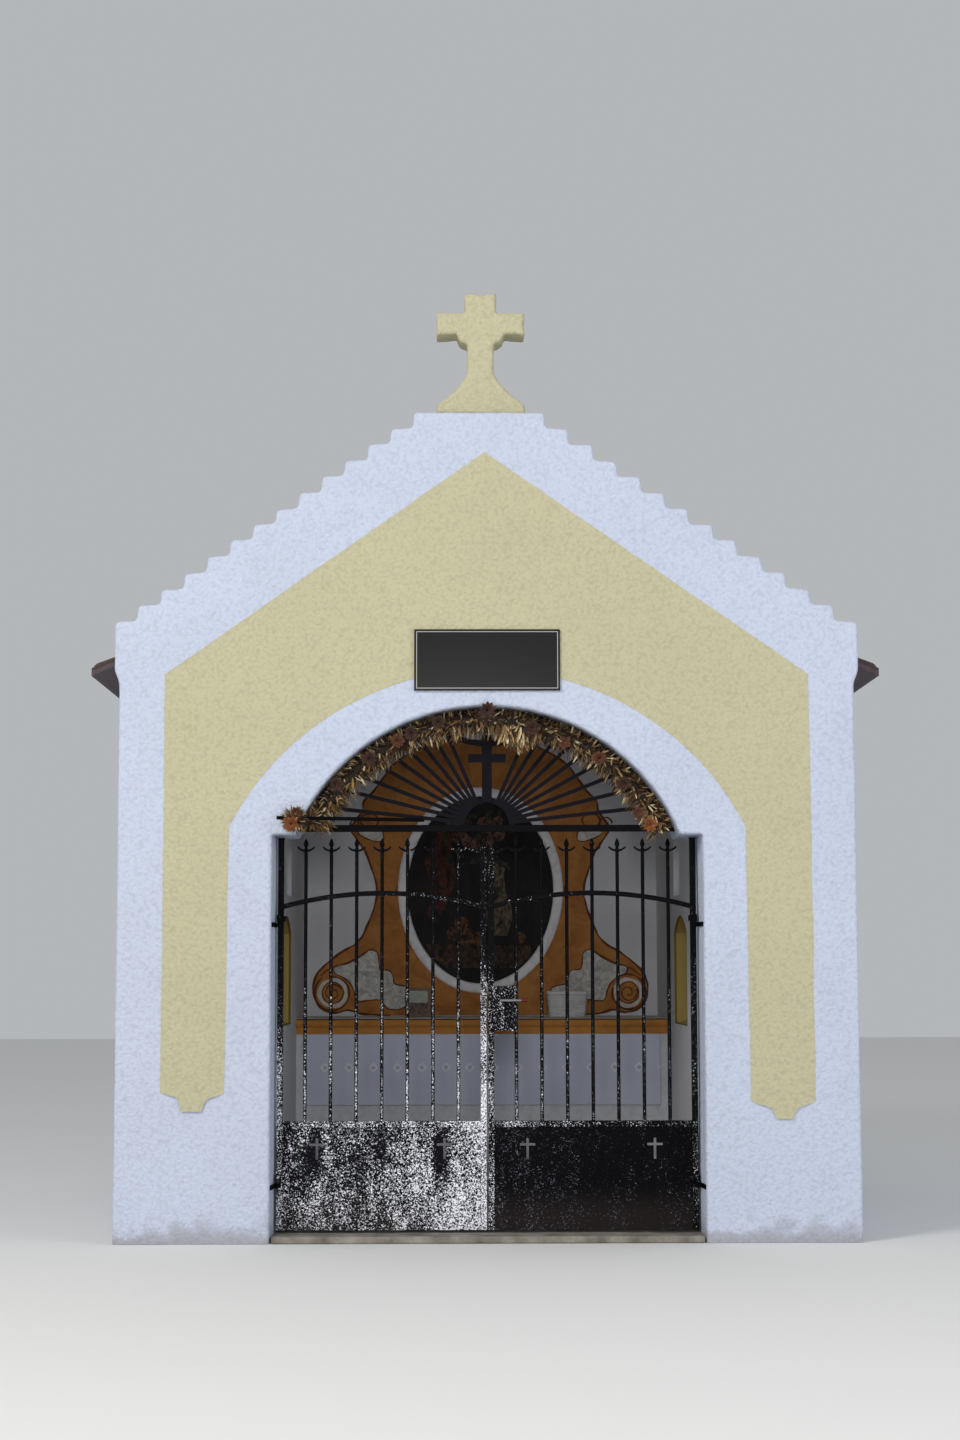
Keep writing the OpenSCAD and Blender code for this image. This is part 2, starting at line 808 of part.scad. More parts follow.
// Hinge eyes, each with a strap welded across the stile
module leaf_eyes() {
    eye_r = pin_d / 2 + 6;
    strap_y = hinge_y + pin_d / 2 + 1.5;
    for (z = [upper_hinge_z, lower_hinge_z]) translate([0, 0, z]) difference() {
        union() {
            translate([-hinge_x, hinge_y, 0]) cylinder(h = eye_h, r = eye_r, $fn = 32);
            translate([-hinge_x, strap_y, 4]) cube([stile, gate_front - strap_y, eye_h - 8]);
        }
        translate([-hinge_x, hinge_y, -1]) cylinder(h = eye_h + 2, r = pin_d / 2 + pin_play, $fn = 32);
    }
}

// Distance of the jamb from the middle, at a depth in front of the gate
function jamb_x(d) = door_w / 2 + jamb_splay * (1 - d / gate_front);

// Hooks on the jambs: a flat bar along the jamb, a seat for the eye and a pin
module hinge_hooks() {
    seat_h = 20;
    seat = 1;
    bar_t = 7;
    near = 14;
    far = hinge_y + 8;
    for (z = [upper_hinge_z, lower_hinge_z]) translate([0, 0, z]) {
        translate([0, 0, -seat - seat_h]) linear_extrude(seat_h) {
            polygon([[-jamb_x(near), near], [-jamb_x(near) + bar_t, near], [-jamb_x(far) + bar_t, far],
                [-jamb_x(far), far]]);
            translate([-jamb_x(far), hinge_y - 8]) square([jamb_x(far) - hinge_x, 16]);
            translate([-hinge_x, hinge_y]) circle(pin_d / 2 + 5, $fn = 32);
        }
        translate([-hinge_x, hinge_y, -seat - 2]) cylinder(h = eye_h + 8, d = pin_d, $fn = 32);
    }
}

module left_leaf_grille() color("black") behind(gate_front) leaf_grille();

module right_leaf_grille() color("black") mirror([1, 0, 0]) behind(gate_front) leaf_grille();

module left_leaf_rail() color("black") behind(gate_front - rail_t) leaf_rail();

module right_leaf_rail() color("black") mirror([1, 0, 0]) behind(gate_front - rail_t) leaf_rail();

module left_leaf_panel() color("black") behind(gate_front + sheet_in) leaf_panel(cut_shift);

module right_leaf_panel() color("black") mirror([1, 0, 0]) behind(gate_front + sheet_in) leaf_panel(-cut_shift);

module left_leaf_eyes() color("black") behind(0) leaf_eyes();

module right_leaf_eyes() color("black") mirror([1, 0, 0]) behind(0) leaf_eyes();

module left_hinge_hooks() color("dimgray") behind(0) hinge_hooks();

module right_hinge_hooks() color("dimgray") mirror([1, 0, 0]) behind(0) hinge_hooks();

// Lock with a keyhole and a lever, on the right leaf

lock_x = leaf_in + stile * 0.6;
lever_x = lock_x + 42;
lever_z = lock_z + lock_h * 0.68;
spindle_d = 12;

module lock_box() {
    key_z = lock_z + 38;
    color("black") behind(gate_front - lock_d) difference() {
        translate([lock_x, 0, lock_z]) cube([lock_w, lock_d, lock_h]);
        translate([lever_x, -1, lever_z]) rotate([-90, 0, 0]) cylinder(h = 22, d = spindle_d + 1.4, $fn = 32);
        translate([lock_x + 36, -1, key_z]) {
            rotate([-90, 0, 0]) cylinder(h = 16, d = 9, $fn = 24);
            translate([-2.5, 0, -17]) cube([5, 15, 17]);
        }
    }
}

// Spindle, arm and flared end of the lever
module lever_handle() {
    arm_d = 12;
    end_len = 18;
    stand_off = 30;
    color("dimgray") behind(gate_front - lock_d) translate([lever_x, 0, lever_z]) {
        translate([0, -stand_off, 0]) rotate([-90, 0, 0]) cylinder(h = stand_off + 14, d = spindle_d, $fn = 32);
        translate([-spindle_d / 2, -stand_off, 0]) rotate([0, 90, 0])
            cylinder(h = lever_len + spindle_d / 2 - end_len + 2, d = arm_d, $fn = 32);
        translate([lever_len - end_len, -stand_off, 0]) rotate([0, 90, 0])
            cylinder(h = end_len, d1 = arm_d, d2 = arm_d + 6, $fn = 32);
    }
}

left_pier();
right_pier();
arched_gable();
gable_cross();
left_side_wall();
right_side_wall();
back_wall();
threshold();
floor();
vault();
left_roof_boards();
right_roof_boards();
left_roof_tiles();
right_roof_tiles();
ridge_tiles();
plaque();
altar_block();
altar_shelf();
altar_cloth();
oval_picture();
oval_moulding();
left_window_frame();
right_window_frame();
left_window_pane();
right_window_pane();
transom_bar();
sunburst_grille();
sunburst_cross();
garland_rod();
garland();
planter();
framed_card();
left_hinge_hooks();
right_hinge_hooks();
left_leaf_grille();
left_leaf_rail();
left_leaf_panel();
left_leaf_eyes();
right_leaf_grille();
right_leaf_rail();
right_leaf_panel();
right_leaf_eyes();
lock_box();
lever_handle();
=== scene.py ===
"""Looks of the wayside shrine: a small plastered chapel with a stepped gable, a sunburst fanlight
and a two-leaf iron gate. Metres, +Z up, +Y towards the altar."""
import math

import bmesh
import bpy
import numpy as np
from mathutils import Matrix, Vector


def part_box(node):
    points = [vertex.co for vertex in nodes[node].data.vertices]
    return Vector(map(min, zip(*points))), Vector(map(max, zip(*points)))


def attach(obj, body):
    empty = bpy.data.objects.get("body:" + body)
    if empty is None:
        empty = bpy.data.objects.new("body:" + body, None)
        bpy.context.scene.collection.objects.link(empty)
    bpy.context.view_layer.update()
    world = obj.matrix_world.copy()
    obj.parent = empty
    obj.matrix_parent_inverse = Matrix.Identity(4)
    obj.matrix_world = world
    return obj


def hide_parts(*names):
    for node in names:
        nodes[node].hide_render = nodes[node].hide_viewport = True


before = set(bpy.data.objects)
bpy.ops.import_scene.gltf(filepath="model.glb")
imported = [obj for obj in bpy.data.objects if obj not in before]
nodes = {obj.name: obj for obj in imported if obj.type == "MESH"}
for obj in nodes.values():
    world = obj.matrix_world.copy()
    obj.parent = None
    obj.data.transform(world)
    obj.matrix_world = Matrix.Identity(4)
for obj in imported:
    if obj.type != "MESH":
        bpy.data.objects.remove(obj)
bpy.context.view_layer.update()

# Camera: stands about 10.7 m before the front wall, a little left of the door's axis, and looks
# slightly up. The lens covers the upright picture's height.

EYE = (-0.150, -12.300, 1.186)
YAW, PITCH, ROLL = math.radians(0.6326), math.radians(5.903), math.radians(-0.102)
ahead = np.array([math.sin(YAW) * math.cos(PITCH), math.cos(YAW) * math.cos(PITCH), math.sin(PITCH)])
level = np.array([math.cos(YAW), -math.sin(YAW), 0.0])
upright = np.cross(level, ahead)
across = math.cos(ROLL) * level + math.sin(ROLL) * upright
above = np.cross(across, ahead)
lens = bpy.data.cameras.new("camera")
lens.lens = 60.32
lens.sensor_fit = "VERTICAL"
lens.sensor_height = 36.0
camera = bpy.data.objects.new("camera", lens)
turned = np.column_stack([across, above, -ahead, EYE])
camera.matrix_world = Matrix(turned.tolist() + [[0, 0, 0, 1]])
bpy.context.scene.collection.objects.link(camera)
bpy.context.scene.camera = camera
bpy.context.scene.view_settings.view_transform = "Standard"


# Light and floor: an even pale sky, one broad lamp from the upper left in front, a weaker one from the
# right and a small one beside the camera that reaches into the room, over a plain pale floor.

def rgb(red, green, blue):
    """A colour as a screen shows it, from 0 to 255, turned into the linear values that shaders use."""
    shown = np.array([red, green, blue]) / 255.0
    linear = np.where(shown <= 0.04045, shown / 12.92, ((shown + 0.055) / 1.055) ** 2.4)
    return (*[float(v) for v in linear], 1.0)


class Paint:
    """A procedural material while it is put together. Each method adds one shader node over the object's
    own coordinates and gives back the socket that the next one takes."""

    def __init__(self, name, rough, **sockets):
        """Starts the material with a roughness and with other values of its shader's sockets."""
        self.material = bpy.data.materials.new(name)
        self.material.use_nodes = True
        self.tree = self.material.node_tree
        self.shader = self.tree.nodes["Principled BSDF"]
        for key, value in {"Roughness": rough, **sockets}.items():
            self.shader.inputs[key.replace("_", " ")].default_value = value
        self.place = self.add("TexCoord").outputs["Object"]

    def add(self, kind, sockets=None, **settings):
        """Any node, with its sockets filled with values or with other nodes' outputs."""
        made = self.tree.nodes.new("ShaderNode" + kind)
        for key, value in settings.items():
            setattr(made, key, value)
        for key, value in (sockets or {}).items():
            if isinstance(value, bpy.types.NodeSocket):
                self.tree.links.new(value, made.inputs[key])
            else:
                made.inputs[key].default_value = value
        return made

    def axis(self, name, vector=None):
        """X, Y or Z of the place or of another vector."""
        return self.add("SeparateXYZ", {"Vector": vector or self.place}).outputs[name]

    def noise(self, scale, detail=2.0, rough=0.5, warp=0.0, at=None):
        """Noise from 0 to 1 over the place or over another vector."""
        return self.add("TexNoise", {"Vector": at or self.place, "Scale": scale, "Detail": detail,
                                     "Roughness": rough, "Distortion": warp}).outputs["Fac"]

    def scaled(self, scale, move=(0.0, 0.0, 0.0)):
        """The place, drawn out by a scale for each axis and moved."""
        return self.add("Mapping", {"Vector": self.place, "Location": move, "Scale": scale}).outputs["Vector"]

    def calc(self, operation, *values):
        """One arithmetic step."""
        return self.add("Math", dict(enumerate(values)), operation=operation).outputs[0]

    def remap(self, value, low, high, to_low=0.0, to_high=1.0, kind="LINEAR"):
        """A value carried from one range to another and held inside it."""
        return self.add("MapRange", {"Value": value, "From Min": low, "From Max": high, "To Min": to_low,
                                     "To Max": to_high}, interpolation_type=kind).outputs["Result"]

    def mix(self, fac, first, second, kind="MIX"):
        """Two colours mixed by a share."""
        return self.add("MixRGB", {"Fac": fac, "Color1": first, "Color2": second},
                        blend_type=kind).outputs["Color"]

    def ramp(self, fac, stops):
        """Colours that run through (position, colour) stops."""
        made = self.add("ValToRGB", {"Fac": fac})
        elements = made.color_ramp.elements
        while len(elements) < len(stops):
            elements.new(0.5)
        for element, (place, colour) in zip(elements, stops):
            element.position, element.color = place, colour
        return made.outputs["Color"]

    def coat(self, colour, height=None, strength=1.0, depth=0.001):
        """Ends the material: the shader gets its colour, and bumps of a depth in metres."""
        self.colour = colour
        self.tree.links.new(colour, self.shader.inputs["Base Color"])
        if height is not None:
            self.bump = self.add("Bump", {"Height": height, "Strength": strength, "Distance": depth})
            self.tree.links.new(self.bump.outputs["Normal"], self.shader.inputs["Normal"])
        return self


def lamp(name, place, aim, size, watts, colour):
    """A square area lamp at a place, turned so that its light runs towards the aim."""
    light = bpy.data.lights.new(name, "AREA")
    light.size = size
    light.energy = watts
    light.color = colour
    holder = bpy.data.objects.new(name, light)
    holder.location = place
    beam = np.array(aim, float) - np.array(place, float)
    holder.rotation_euler = (math.atan2(math.hypot(beam[0], beam[1]), -beam[2]), 0.0,
                             math.atan2(-beam[0], beam[1]))
    bpy.context.scene.collection.objects.link(holder)


sky = bpy.data.worlds.new("sky")
sky.use_nodes = True
sky.node_tree.nodes["Background"].inputs["Color"].default_value = (0.93, 0.96, 1.0, 1.0)
sky.node_tree.nodes["Background"].inputs["Strength"].default_value = 0.49
bpy.context.scene.world = sky
lamp("key_lamp", (-6.5, -9.5, 8.5), (0.0, -1.4, 1.9), 3.2, 690.0, (1.0, 0.97, 0.93))
lamp("side_lamp", (7.5, -7.0, 4.5), (0.0, -1.4, 1.6), 4.0, 180.0, (0.92, 0.95, 1.0))
lamp("front_lamp", (-0.1, -12.2, 2.0), (0.0, 0.8, 1.4), 0.9, 200.0, (1.0, 0.98, 0.95))

FLOOR_HALF = 30.0
floor_mesh = bpy.data.meshes.new("studio_floor")
floor_mesh.from_pydata([(FLOOR_HALF * x, FLOOR_HALF * y, -0.001) for x, y in
                        ((-1, -1), (1, -1), (1, 1), (-1, 1))], [], [(0, 1, 2, 3)])
studio_floor = bpy.data.objects.new("studio_floor", floor_mesh)
bpy.context.scene.collection.objects.link(studio_floor)
floor_mesh.materials.append(Paint("studio_floor", 0.9, Base_Color=rgb(226, 226, 224)).material)


# Front wall: brick masonry 0.4 m thick under rough spatterdash plaster, limewashed white. Its
# gable ends in thirteen rounded brick steps a side, and the arched doorway has soft arrises.

FRONT_Y, FRONT_T = -1.630, 0.400
HALF_W, BLOCK_HALF = 1.635, 1.658
SHOULDER_Z, BLOCK_LOW, BLOCK_SLOPE = 2.738, 2.504, 0.040
GABLE_Z, STEPS, PLATFORM = 3.685, 13, (-0.327, 0.259)
FOOT_Z, TURN_Z, TIP_X = 0.62, 1.8, -0.034
JAMB_X, JAMB_IN, GATE_DEPTH, SPRING_Z = 0.955, 0.945, 0.150, 1.782
ARCH_R, ARCH_Z = 0.922, 1.434
RING_R, RING_Z = 1.285, 1.230
PAINT_FOOT_L, PAINT_FOOT_R, PAINT_TURN, PAINT_SHOULDER = 0.65, 0.611, 1.815, 2.495
PAINT_TIP = (-0.010, 3.501)
COUNTS = (60, 108, 64, 224)
ARRIS = 0.013
LIME = rgb(196, 204, 223)
GRAIN, SPATTER = 0.011, 0.0042


def waves(points, seed, longest, shortest, count=36):
    """Smooth unevenness: a sum of plane waves with seeded directions, whose height falls with their length.
    The result runs from about -1 to 1."""
    draw = np.random.default_rng(seed)
    lengths = np.geomspace(longest, shortest, count)
    way = draw.normal(size=(count, 3))
    way /= np.linalg.norm(way, axis=1)[:, None]
    turns = points @ (way / lengths[:, None]).T * 2 * math.pi + draw.uniform(0, 2 * math.pi, count)
    weight = (lengths / longest) ** 0.55
    return np.sin(turns) @ weight / (np.sqrt((weight ** 2).sum()) * 1.6)


def resample(corners, count):
    """Points at equal steps along a polyline that keeps its first and last corner."""
    corners = np.array(corners, float)
    run = np.concatenate([[0.0], np.cumsum(np.linalg.norm(np.diff(corners, axis=0), axis=1))])
    want = np.linspace(0.0, run[-1], count)
    return np.stack([np.interp(want, run, corners[:, k]) for k in range(corners.shape[1])], axis=1)


def stretch(*legs):
    """Joins polylines, each resampled to its own count of steps, into one path without double points."""
    parts = [resample(corners, count + 1)[:-1] for corners, count in legs]
    return np.concatenate(parts + [np.array([legs[-1][0][-1]], float)])


def chain(corners, numbers=COUNTS):
    """A path through corners, with its own count of steps from each corner to the next."""
    return stretch(*[([a, b], n) for a, b, n in zip(corners, corners[1:], numbers)])


def soften(path, reach):
    """Rounds a path's corners by a running mean over the points on both sides, with its ends held."""
    padded = np.concatenate([2 * path[:1] - path[reach:0:-1], path, 2 * path[-1:] - path[-2:-reach - 2:-1]])
    kernel = np.hanning(2 * reach + 3)[1:-1]
    kernel /= kernel.sum()
    return np.stack([np.convolve(padded[:, k], kernel, mode="valid") for k in range(path.shape[1])], axis=1)


def edge_normals(path):
    """Unit normals of an upright path (X, Z), a quarter turn to the left of its run."""
    run = np.gradient(path, axis=0)
    run /= np.linalg.norm(run, axis=1)[:, None]
    return np.stack([-run[:, 1], run[:, 0]], axis=1)


def grid_faces(rows, columns, close_rows=False, close_columns=False):
    """Quads between neighbouring rows and columns of a grid of points, with either way closed if asked."""
    r = np.arange(rows if close_rows else rows - 1)
    c = np.arange(columns if close_columns else columns - 1)
    r, c = np.meshgrid(r, c, indexing="ij")
    r2, c2 = (r + 1) % rows, (c + 1) % columns
    corners = [r * columns + c, r * columns + c2, r2 * columns + c2, r2 * columns + c]
    return np.stack(corners, -1).reshape(-1, 4)


def make_piece(name, parts, paint, body="root", crease=40.0):
    """Joins (points, faces) parts into one mesh object with a material and a body. Edges that
    turn by more than the crease's degrees stay sharp."""
    points = np.concatenate([np.asarray(p, float).reshape(-1, 3) for p, _ in parts])
    shift = np.cumsum([0] + [len(np.asarray(p).reshape(-1, 3)) for p, _ in parts])
    faces = [tuple(int(i) + int(s) for i in f) for (_, group), s in zip(parts, shift) for f in group]
    mesh = bpy.data.meshes.new(name)
    mesh.from_pydata(points.tolist(), [], faces)
    mesh.polygons.foreach_set("use_smooth", [True] * len(faces))
    mesh.set_sharp_from_angle(angle=math.radians(crease))
    mesh.materials.append(paint.material)
    made = bpy.data.objects.new(name, mesh)
    bpy.context.scene.collection.objects.link(made)
    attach(made, body)
    return made


def plaster(name, tint, grain, depth, soil=0.0, blotch=0.05):
    """Limewashed plaster: tint with broad cloudy blotches, soil near the ground, and spatter of a grain size
    in metres that stands out by a depth in metres. The spatter's hollows are painted darker as shade."""
    paint = Paint(name, 0.92, Specular_IOR_Level=0.25)
    shade = tuple(c * (1 - blotch) for c in tint[:3]) + (1.0,)
    tone = paint.ramp(paint.noise(1.7, 5.0, 0.6), ((0.3, shade), (0.6, tint)))
    lumps = paint.add("TexVoronoi", {"Vector": paint.place, "Scale": 0.75 / grain, "Randomness": 1.0},
                      feature="SMOOTH_F1").outputs["Distance"]
    spatter = paint.calc("SUBTRACT", paint.noise(0.9 / grain, 2.5, 0.62, 0.35), lumps)
    # Painted shade: the colour darkens to 0.88 in the spatter's hollows.
    colour = paint.mix(1.0, tone, paint.remap(spatter, -0.25, 0.15, 0.88, 1.0), "MULTIPLY")
    if soil:
        rise = paint.remap(paint.noise(9.0, 6.0, 0.7), 0.3, 0.72, 0.02, 0.22)
        splash = paint.remap(paint.calc("DIVIDE", paint.axis("Z"), rise), 0.0, 1.0, soil, 0.0, "SMOOTHSTEP")
        colour = paint.mix(splash, colour, rgb(122, 108, 92))
    return paint.coat(colour, spatter, 1.0, depth)


def gable_edge(side, draw):
    """One side of the stepped gable as (X, Z) corners from the shoulder to the platform. The treads drop and
    the risers lean a little outwards, each by its own small amount."""
    end = PLATFORM[0] if side < 0 else PLATFORM[1]
    tread = (end - side * BLOCK_HALF) / STEPS
    riser = (GABLE_Z - SHOULDER_Z) / STEPS
    corners = [(side * BLOCK_HALF, SHOULDER_Z - 0.007)]
    for step in range(1, STEPS + 1):
        drop, lean, rise = draw.uniform(-0.003, 0.003), draw.uniform(0.003, 0.010), draw.uniform(0.002, 0.009)
        x = side * BLOCK_HALF + step * tread
        corners.append((x + side * lean, SHOULDER_Z + (step - 1) * riser + drop))
        corners.append((x, SHOULDER_Z + step * riser - (rise if step < STEPS else 0.002)))
    return corners


def outer_side(side, draw):
    """Half of the wall's outline, from the ground over the block at the eaves and up the gable's steps."""
    steps = gable_edge(side, draw)
    ground, foot, turn, under = [(side * HALF_W, z) for z in (0, FOOT_Z, TURN_Z, BLOCK_LOW - BLOCK_SLOPE)]
    legs = ([ground, foot], [foot, turn], [turn, under, (side * BLOCK_HALF, BLOCK_LOW), steps[0]],
            steps + [(TIP_X, GABLE_Z - 0.002)])
    return stretch(*zip(legs, COUNTS))


def arc_points(radius, middle, first, last, count):
    """Points (X, Z) on a circle round (0, middle), from one angle to another."""
    turn = np.linspace(first, last, count)
    return np.stack([radius * np.cos(turn), middle + radius * np.sin(turn)], axis=1)


def both_sides(left, right):
    """A left half and a right half, each from the ground up, joined over the left one's top."""
    return np.concatenate([left, right[-2::-1]])


draw = np.random.default_rng(11)
outer_left, outer_right = outer_side(-1, draw), outer_side(1, draw)
paint_left = chain([(-1.435, 0), (-1.433, PAINT_FOOT_L), (-1.4325, PAINT_TURN), (-1.432, PAINT_SHOULDER),
                    PAINT_TIP])
paint_right = chain([(1.439, 0), (1.437, PAINT_FOOT_R), (1.4345, PAINT_TURN), (1.432, PAINT_SHOULDER),
                     PAINT_TIP])
inner_turn = math.asin((PAINT_TURN - RING_Z) / RING_R)
inner_arc = arc_points(RING_R, RING_Z, math.pi - inner_turn, math.pi / 2, COUNTS[2] + COUNTS[3] + 1)
inner_left = np.concatenate([chain([(-1.156, 0), (-1.154, PAINT_FOOT_L), inner_arc[0]])[:-1], inner_arc])
inner_right = np.concatenate([chain([(1.154, 0), (1.152, PAINT_FOOT_R), inner_arc[0] * [-1, 1]])[:-1],
                              inner_arc * [-1, 1]])
arch_turn = math.asin((SPRING_Z - ARCH_Z) / ARCH_R)
door_arc = arc_points(ARCH_R, ARCH_Z, math.pi - arch_turn, math.pi / 2, COUNTS[2] + COUNTS[3] - 5)
door_left = np.concatenate([chain([(-JAMB_X, 0), (-JAMB_X, FOOT_Z), (-JAMB_X, SPRING_Z), door_arc[0]],
                                  (COUNTS[0], COUNTS[1], 6))[:-1], door_arc])
outer = soften(both_sides(outer_left, outer_right), 2)
paint_line = both_sides(paint_left, paint_right)
inner = both_sides(inner_left, inner_right)
door = soften(both_sides(door_left, door_left * [-1, 1]), 1)


def rim_profile(radius, depth, deep_count):
    """How an edge turns from the front round an arris into the depth and round the back arris: for each
    column the inset, the depth, and the share of the outward way that points sideways and forwards."""
    bend = np.linspace(0, math.pi / 2, 5)
    inset = np.concatenate([radius * (1 - np.sin(bend)), np.zeros(deep_count), radius * (1 - np.cos(bend))])
    middle = np.linspace(radius, depth - radius, deep_count + 2)[1:-1]
    deep = np.concatenate([radius * (1 - np.cos(bend)), middle, depth - radius + radius * np.sin(bend)])
    side = np.concatenate([np.sin(bend), np.ones(deep_count), np.cos(bend)])
    forward = np.concatenate([np.cos(bend), np.zeros(deep_count), -np.sin(bend)])
    return inset, deep, side, forward


def band(path_a, path_b, columns):
    """Points (X, Z) on straight rules from one path to the other."""
    share = np.linspace(0, 1, columns)[None, :, None]
    return path_a[:, None] * (1 - share) + path_b[:, None] * share


def uneven(points, way, seed=3):
    """Moves points along their outward way by trowel waves and the plaster's lumps."""
    flat = points.reshape(-1, 3)
    rise = 0.0016 * waves(flat, seed, 0.9, 0.12, 24) + 0.0011 * waves(flat, seed + 1, 0.07, 0.022, 30)
    return points + way * rise.reshape(points.shape[:-1] + (1,))


def front_grid():
    """The front wall as one closed band of columns: front face from the door's edge to the gable's edge, the
    gable's thickness, the back face, and the door's reveal, with both ends on the ground."""
    outer_way, door_way = edge_normals(outer), -edge_normals(door)
    inset, deep, side, forward = rim_profile(ARRIS, FRONT_T, 8)
    outer_front = outer - outer_way * ARRIS
    door_front = door - door_way * ARRIS
    blocks, depths, ways = [], [], []
    for flat_part, sunk in ((band(door_front, inner, 26)[:, 1:], 0), (band(inner, paint_line, 7)[:, 1:-1], 1),
                            (band(paint_line, outer_front, 18)[:, :-1], 0)):
        blocks.append(flat_part)
        depths.append(np.full(flat_part.shape[:2], 0.007 * sunk))
        ways.append(np.broadcast_to([0.0, -1.0, 0.0], flat_part.shape[:2] + (3,)))
    for path, way_out, order in ((outer, outer_way, slice(None)), (door, door_way, slice(None, None, -1))):
        edge = path[:, None] - way_out[:, None] * inset[None, order, None]
        blocks.append(edge)
        depths.append(np.broadcast_to(deep[order], edge.shape[:2]))
        aside = way_out[:, None] * side[order][:, None]
        ways.append(np.stack([aside[..., 0], np.broadcast_to(-forward[order], edge.shape[:2]), aside[..., 1]],
                             axis=-1))
    back = band(outer_front, door_front, 6)[:, 1:-1]
    blocks.insert(4, back)
    depths.insert(4, np.full(back.shape[:2], FRONT_T))
    ways.insert(4, np.broadcast_to([0.0, 1.0, 0.0], back.shape[:2] + (3,)))
    plan, depth, way = (np.concatenate(each, axis=1) for each in (blocks, depths, ways))
    points = np.stack([plan[..., 0], FRONT_Y + depth, plan[..., 1]], axis=-1)
    narrow = (JAMB_X - JAMB_IN) * np.clip(depth / GATE_DEPTH, 0, 1)
    at_door = (np.abs(plan[..., 0]) < 1.0) & (plan[..., 1] < SPRING_Z - 0.004)
    points[..., 0] -= np.sign(points[..., 0]) * narrow * at_door
    moved = uneven(points, way)
    moved[..., 2] = np.where(points[..., 2] <= 0, 0.0, np.maximum(moved[..., 2], 0.0))
    return moved


wall_points = front_grid()
rows, columns = wall_points.shape[:2]
wall_faces = grid_faces(rows, columns, close_columns=True)[:, ::-1]
feet = [tuple(range(columns)), tuple(range(rows * columns - 1, rows * columns - columns - 1, -1))]
front_wall = make_piece("front_wall", [(wall_points, list(wall_faces) + feet)],
                        plaster("white_plaster", LIME, GRAIN, SPATTER, soil=0.5))
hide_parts("left_pier", "right_pier", "arched_gable")


# Painted field: a coat of pale ochre-yellow over the same spatter, in a gable-shaped frame round the
# arch. Its two legs end in small stepped feet, and its edges were cut in by hand.

YELLOW = rgb(191, 186, 154)
COAT = 0.0013
FIELD_COLUMNS = 46


def foot_line(corners):
    """The lower end of a leg as (X, Z) points at equal X steps: shoulders, two hollow quarter rounds and a
    flat tip, drawn through the given corners."""
    outer_x, outer_z, curve_x, curve_z, tip_x, tip_z, back_x, back_z, end_x, end_z, inner_x, inner_z = corners
    sweep = np.linspace(0, math.pi / 2, 9)[1:-1]
    first = [(curve_x + (tip_x - curve_x) * math.sin(a), tip_z + (curve_z - tip_z) * math.cos(a))
             for a in sweep]
    last = [(end_x + (back_x - end_x) * math.cos(a), back_z + (end_z - back_z) * math.sin(a))
            for a in sweep]
    line = np.array([(outer_x, outer_z), (curve_x, curve_z)] + first
                    + [(tip_x, tip_z), (back_x, back_z)] + last + [(end_x, end_z), (inner_x, inner_z)])
    line = line[np.argsort(line[:, 0])]
    want = np.linspace(line[0, 0], line[-1, 0], FIELD_COLUMNS)
    return np.stack([want, np.interp(want, line[:, 0], line[:, 1])], axis=1)


def coat_part(plan):
    """Turns (X, Z) points of the painted field into a closed skin a coat's thickness in front of the plaster,
    with faces turned so that its front looks outwards."""
    points = np.stack([plan[..., 0], np.full(plan.shape[:2], FRONT_Y), plan[..., 1]], axis=-1)
    points[..., 0] += 0.0022 * waves(points.reshape(-1, 3), 21, 0.35, 0.05, 20).reshape(plan.shape[:2])
    points = uneven(points, np.broadcast_to([0.0, -1.0, 0.0], points.shape))
    rows, columns = plan.shape[:2]
    points[..., 1] -= COAT
    behind = points.copy()
    behind[..., 1] += COAT + 0.004
    points = np.concatenate([points.reshape(-1, 3), behind.reshape(-1, 3)])
    count = rows * columns
    rim = np.concatenate([np.arange(columns), np.arange(1, rows) * columns + columns - 1,
                          count - 2 - np.arange(columns - 1), (np.arange(rows - 2, 0, -1)) * columns])
    edge = np.stack([rim, np.roll(rim, -1), np.roll(rim, -1) + count, rim + count], axis=1)
    front = grid_faces(rows, columns)
    a, b, c = points[front[0][:3]]
    if np.cross(b - a, c - b)[1] > 0:
        front = front[:, ::-1]
    else:
        edge = edge[:, ::-1]
    return points, np.concatenate([front, front[:, ::-1] + count, edge])


left_foot = foot_line((-1.433, 0.651, -1.385, 0.638, -1.345, 0.569, -1.249, 0.569, -1.193, 0.634,
                       -1.154, 0.647))
right_foot = foot_line((1.152, 0.611, 1.196, 0.593, 1.261, 0.533, 1.339, 0.532, 1.402, 0.593,
                        1.437, 0.610))
turn_from = COUNTS[0] + COUNTS[1]
head_plan = band(paint_line[turn_from:-turn_from], inner[turn_from:-turn_from], FIELD_COLUMNS)
left_leg = band(left_foot, head_plan[0], 100).transpose(1, 0, 2)[:-1]
right_leg = band(head_plan[-1], right_foot[::-1], 100).transpose(1, 0, 2)[1:]
yellow_plaster = plaster("yellow_plaster", YELLOW, GRAIN, SPATTER, blotch=0.04)
make_piece("yellow_field", [coat_part(np.concatenate([left_leg, head_plan, right_leg]))], yellow_plaster)


# Gable cross: masonry with a flared foot, standing on the gable's platform. It is plastered and painted
# like the field, with rounded corners below the arms and a bite out of the head and of one arm's tip.

CROSS_X, CROSS_Z = -0.026, 3.685
CROSS_FRONT, CROSS_T, CROSS_R = -1.570, 0.150, 0.016


def bitten(path, centre, radius):
    """Moves the points of a path that lie inside a round notch straight out to the notch's edge."""
    off = path - np.array(centre)
    far = np.maximum(np.linalg.norm(off, axis=1), 1e-6)
    return np.where((far < radius)[:, None], np.array(centre) + off * (radius / far)[:, None], path)


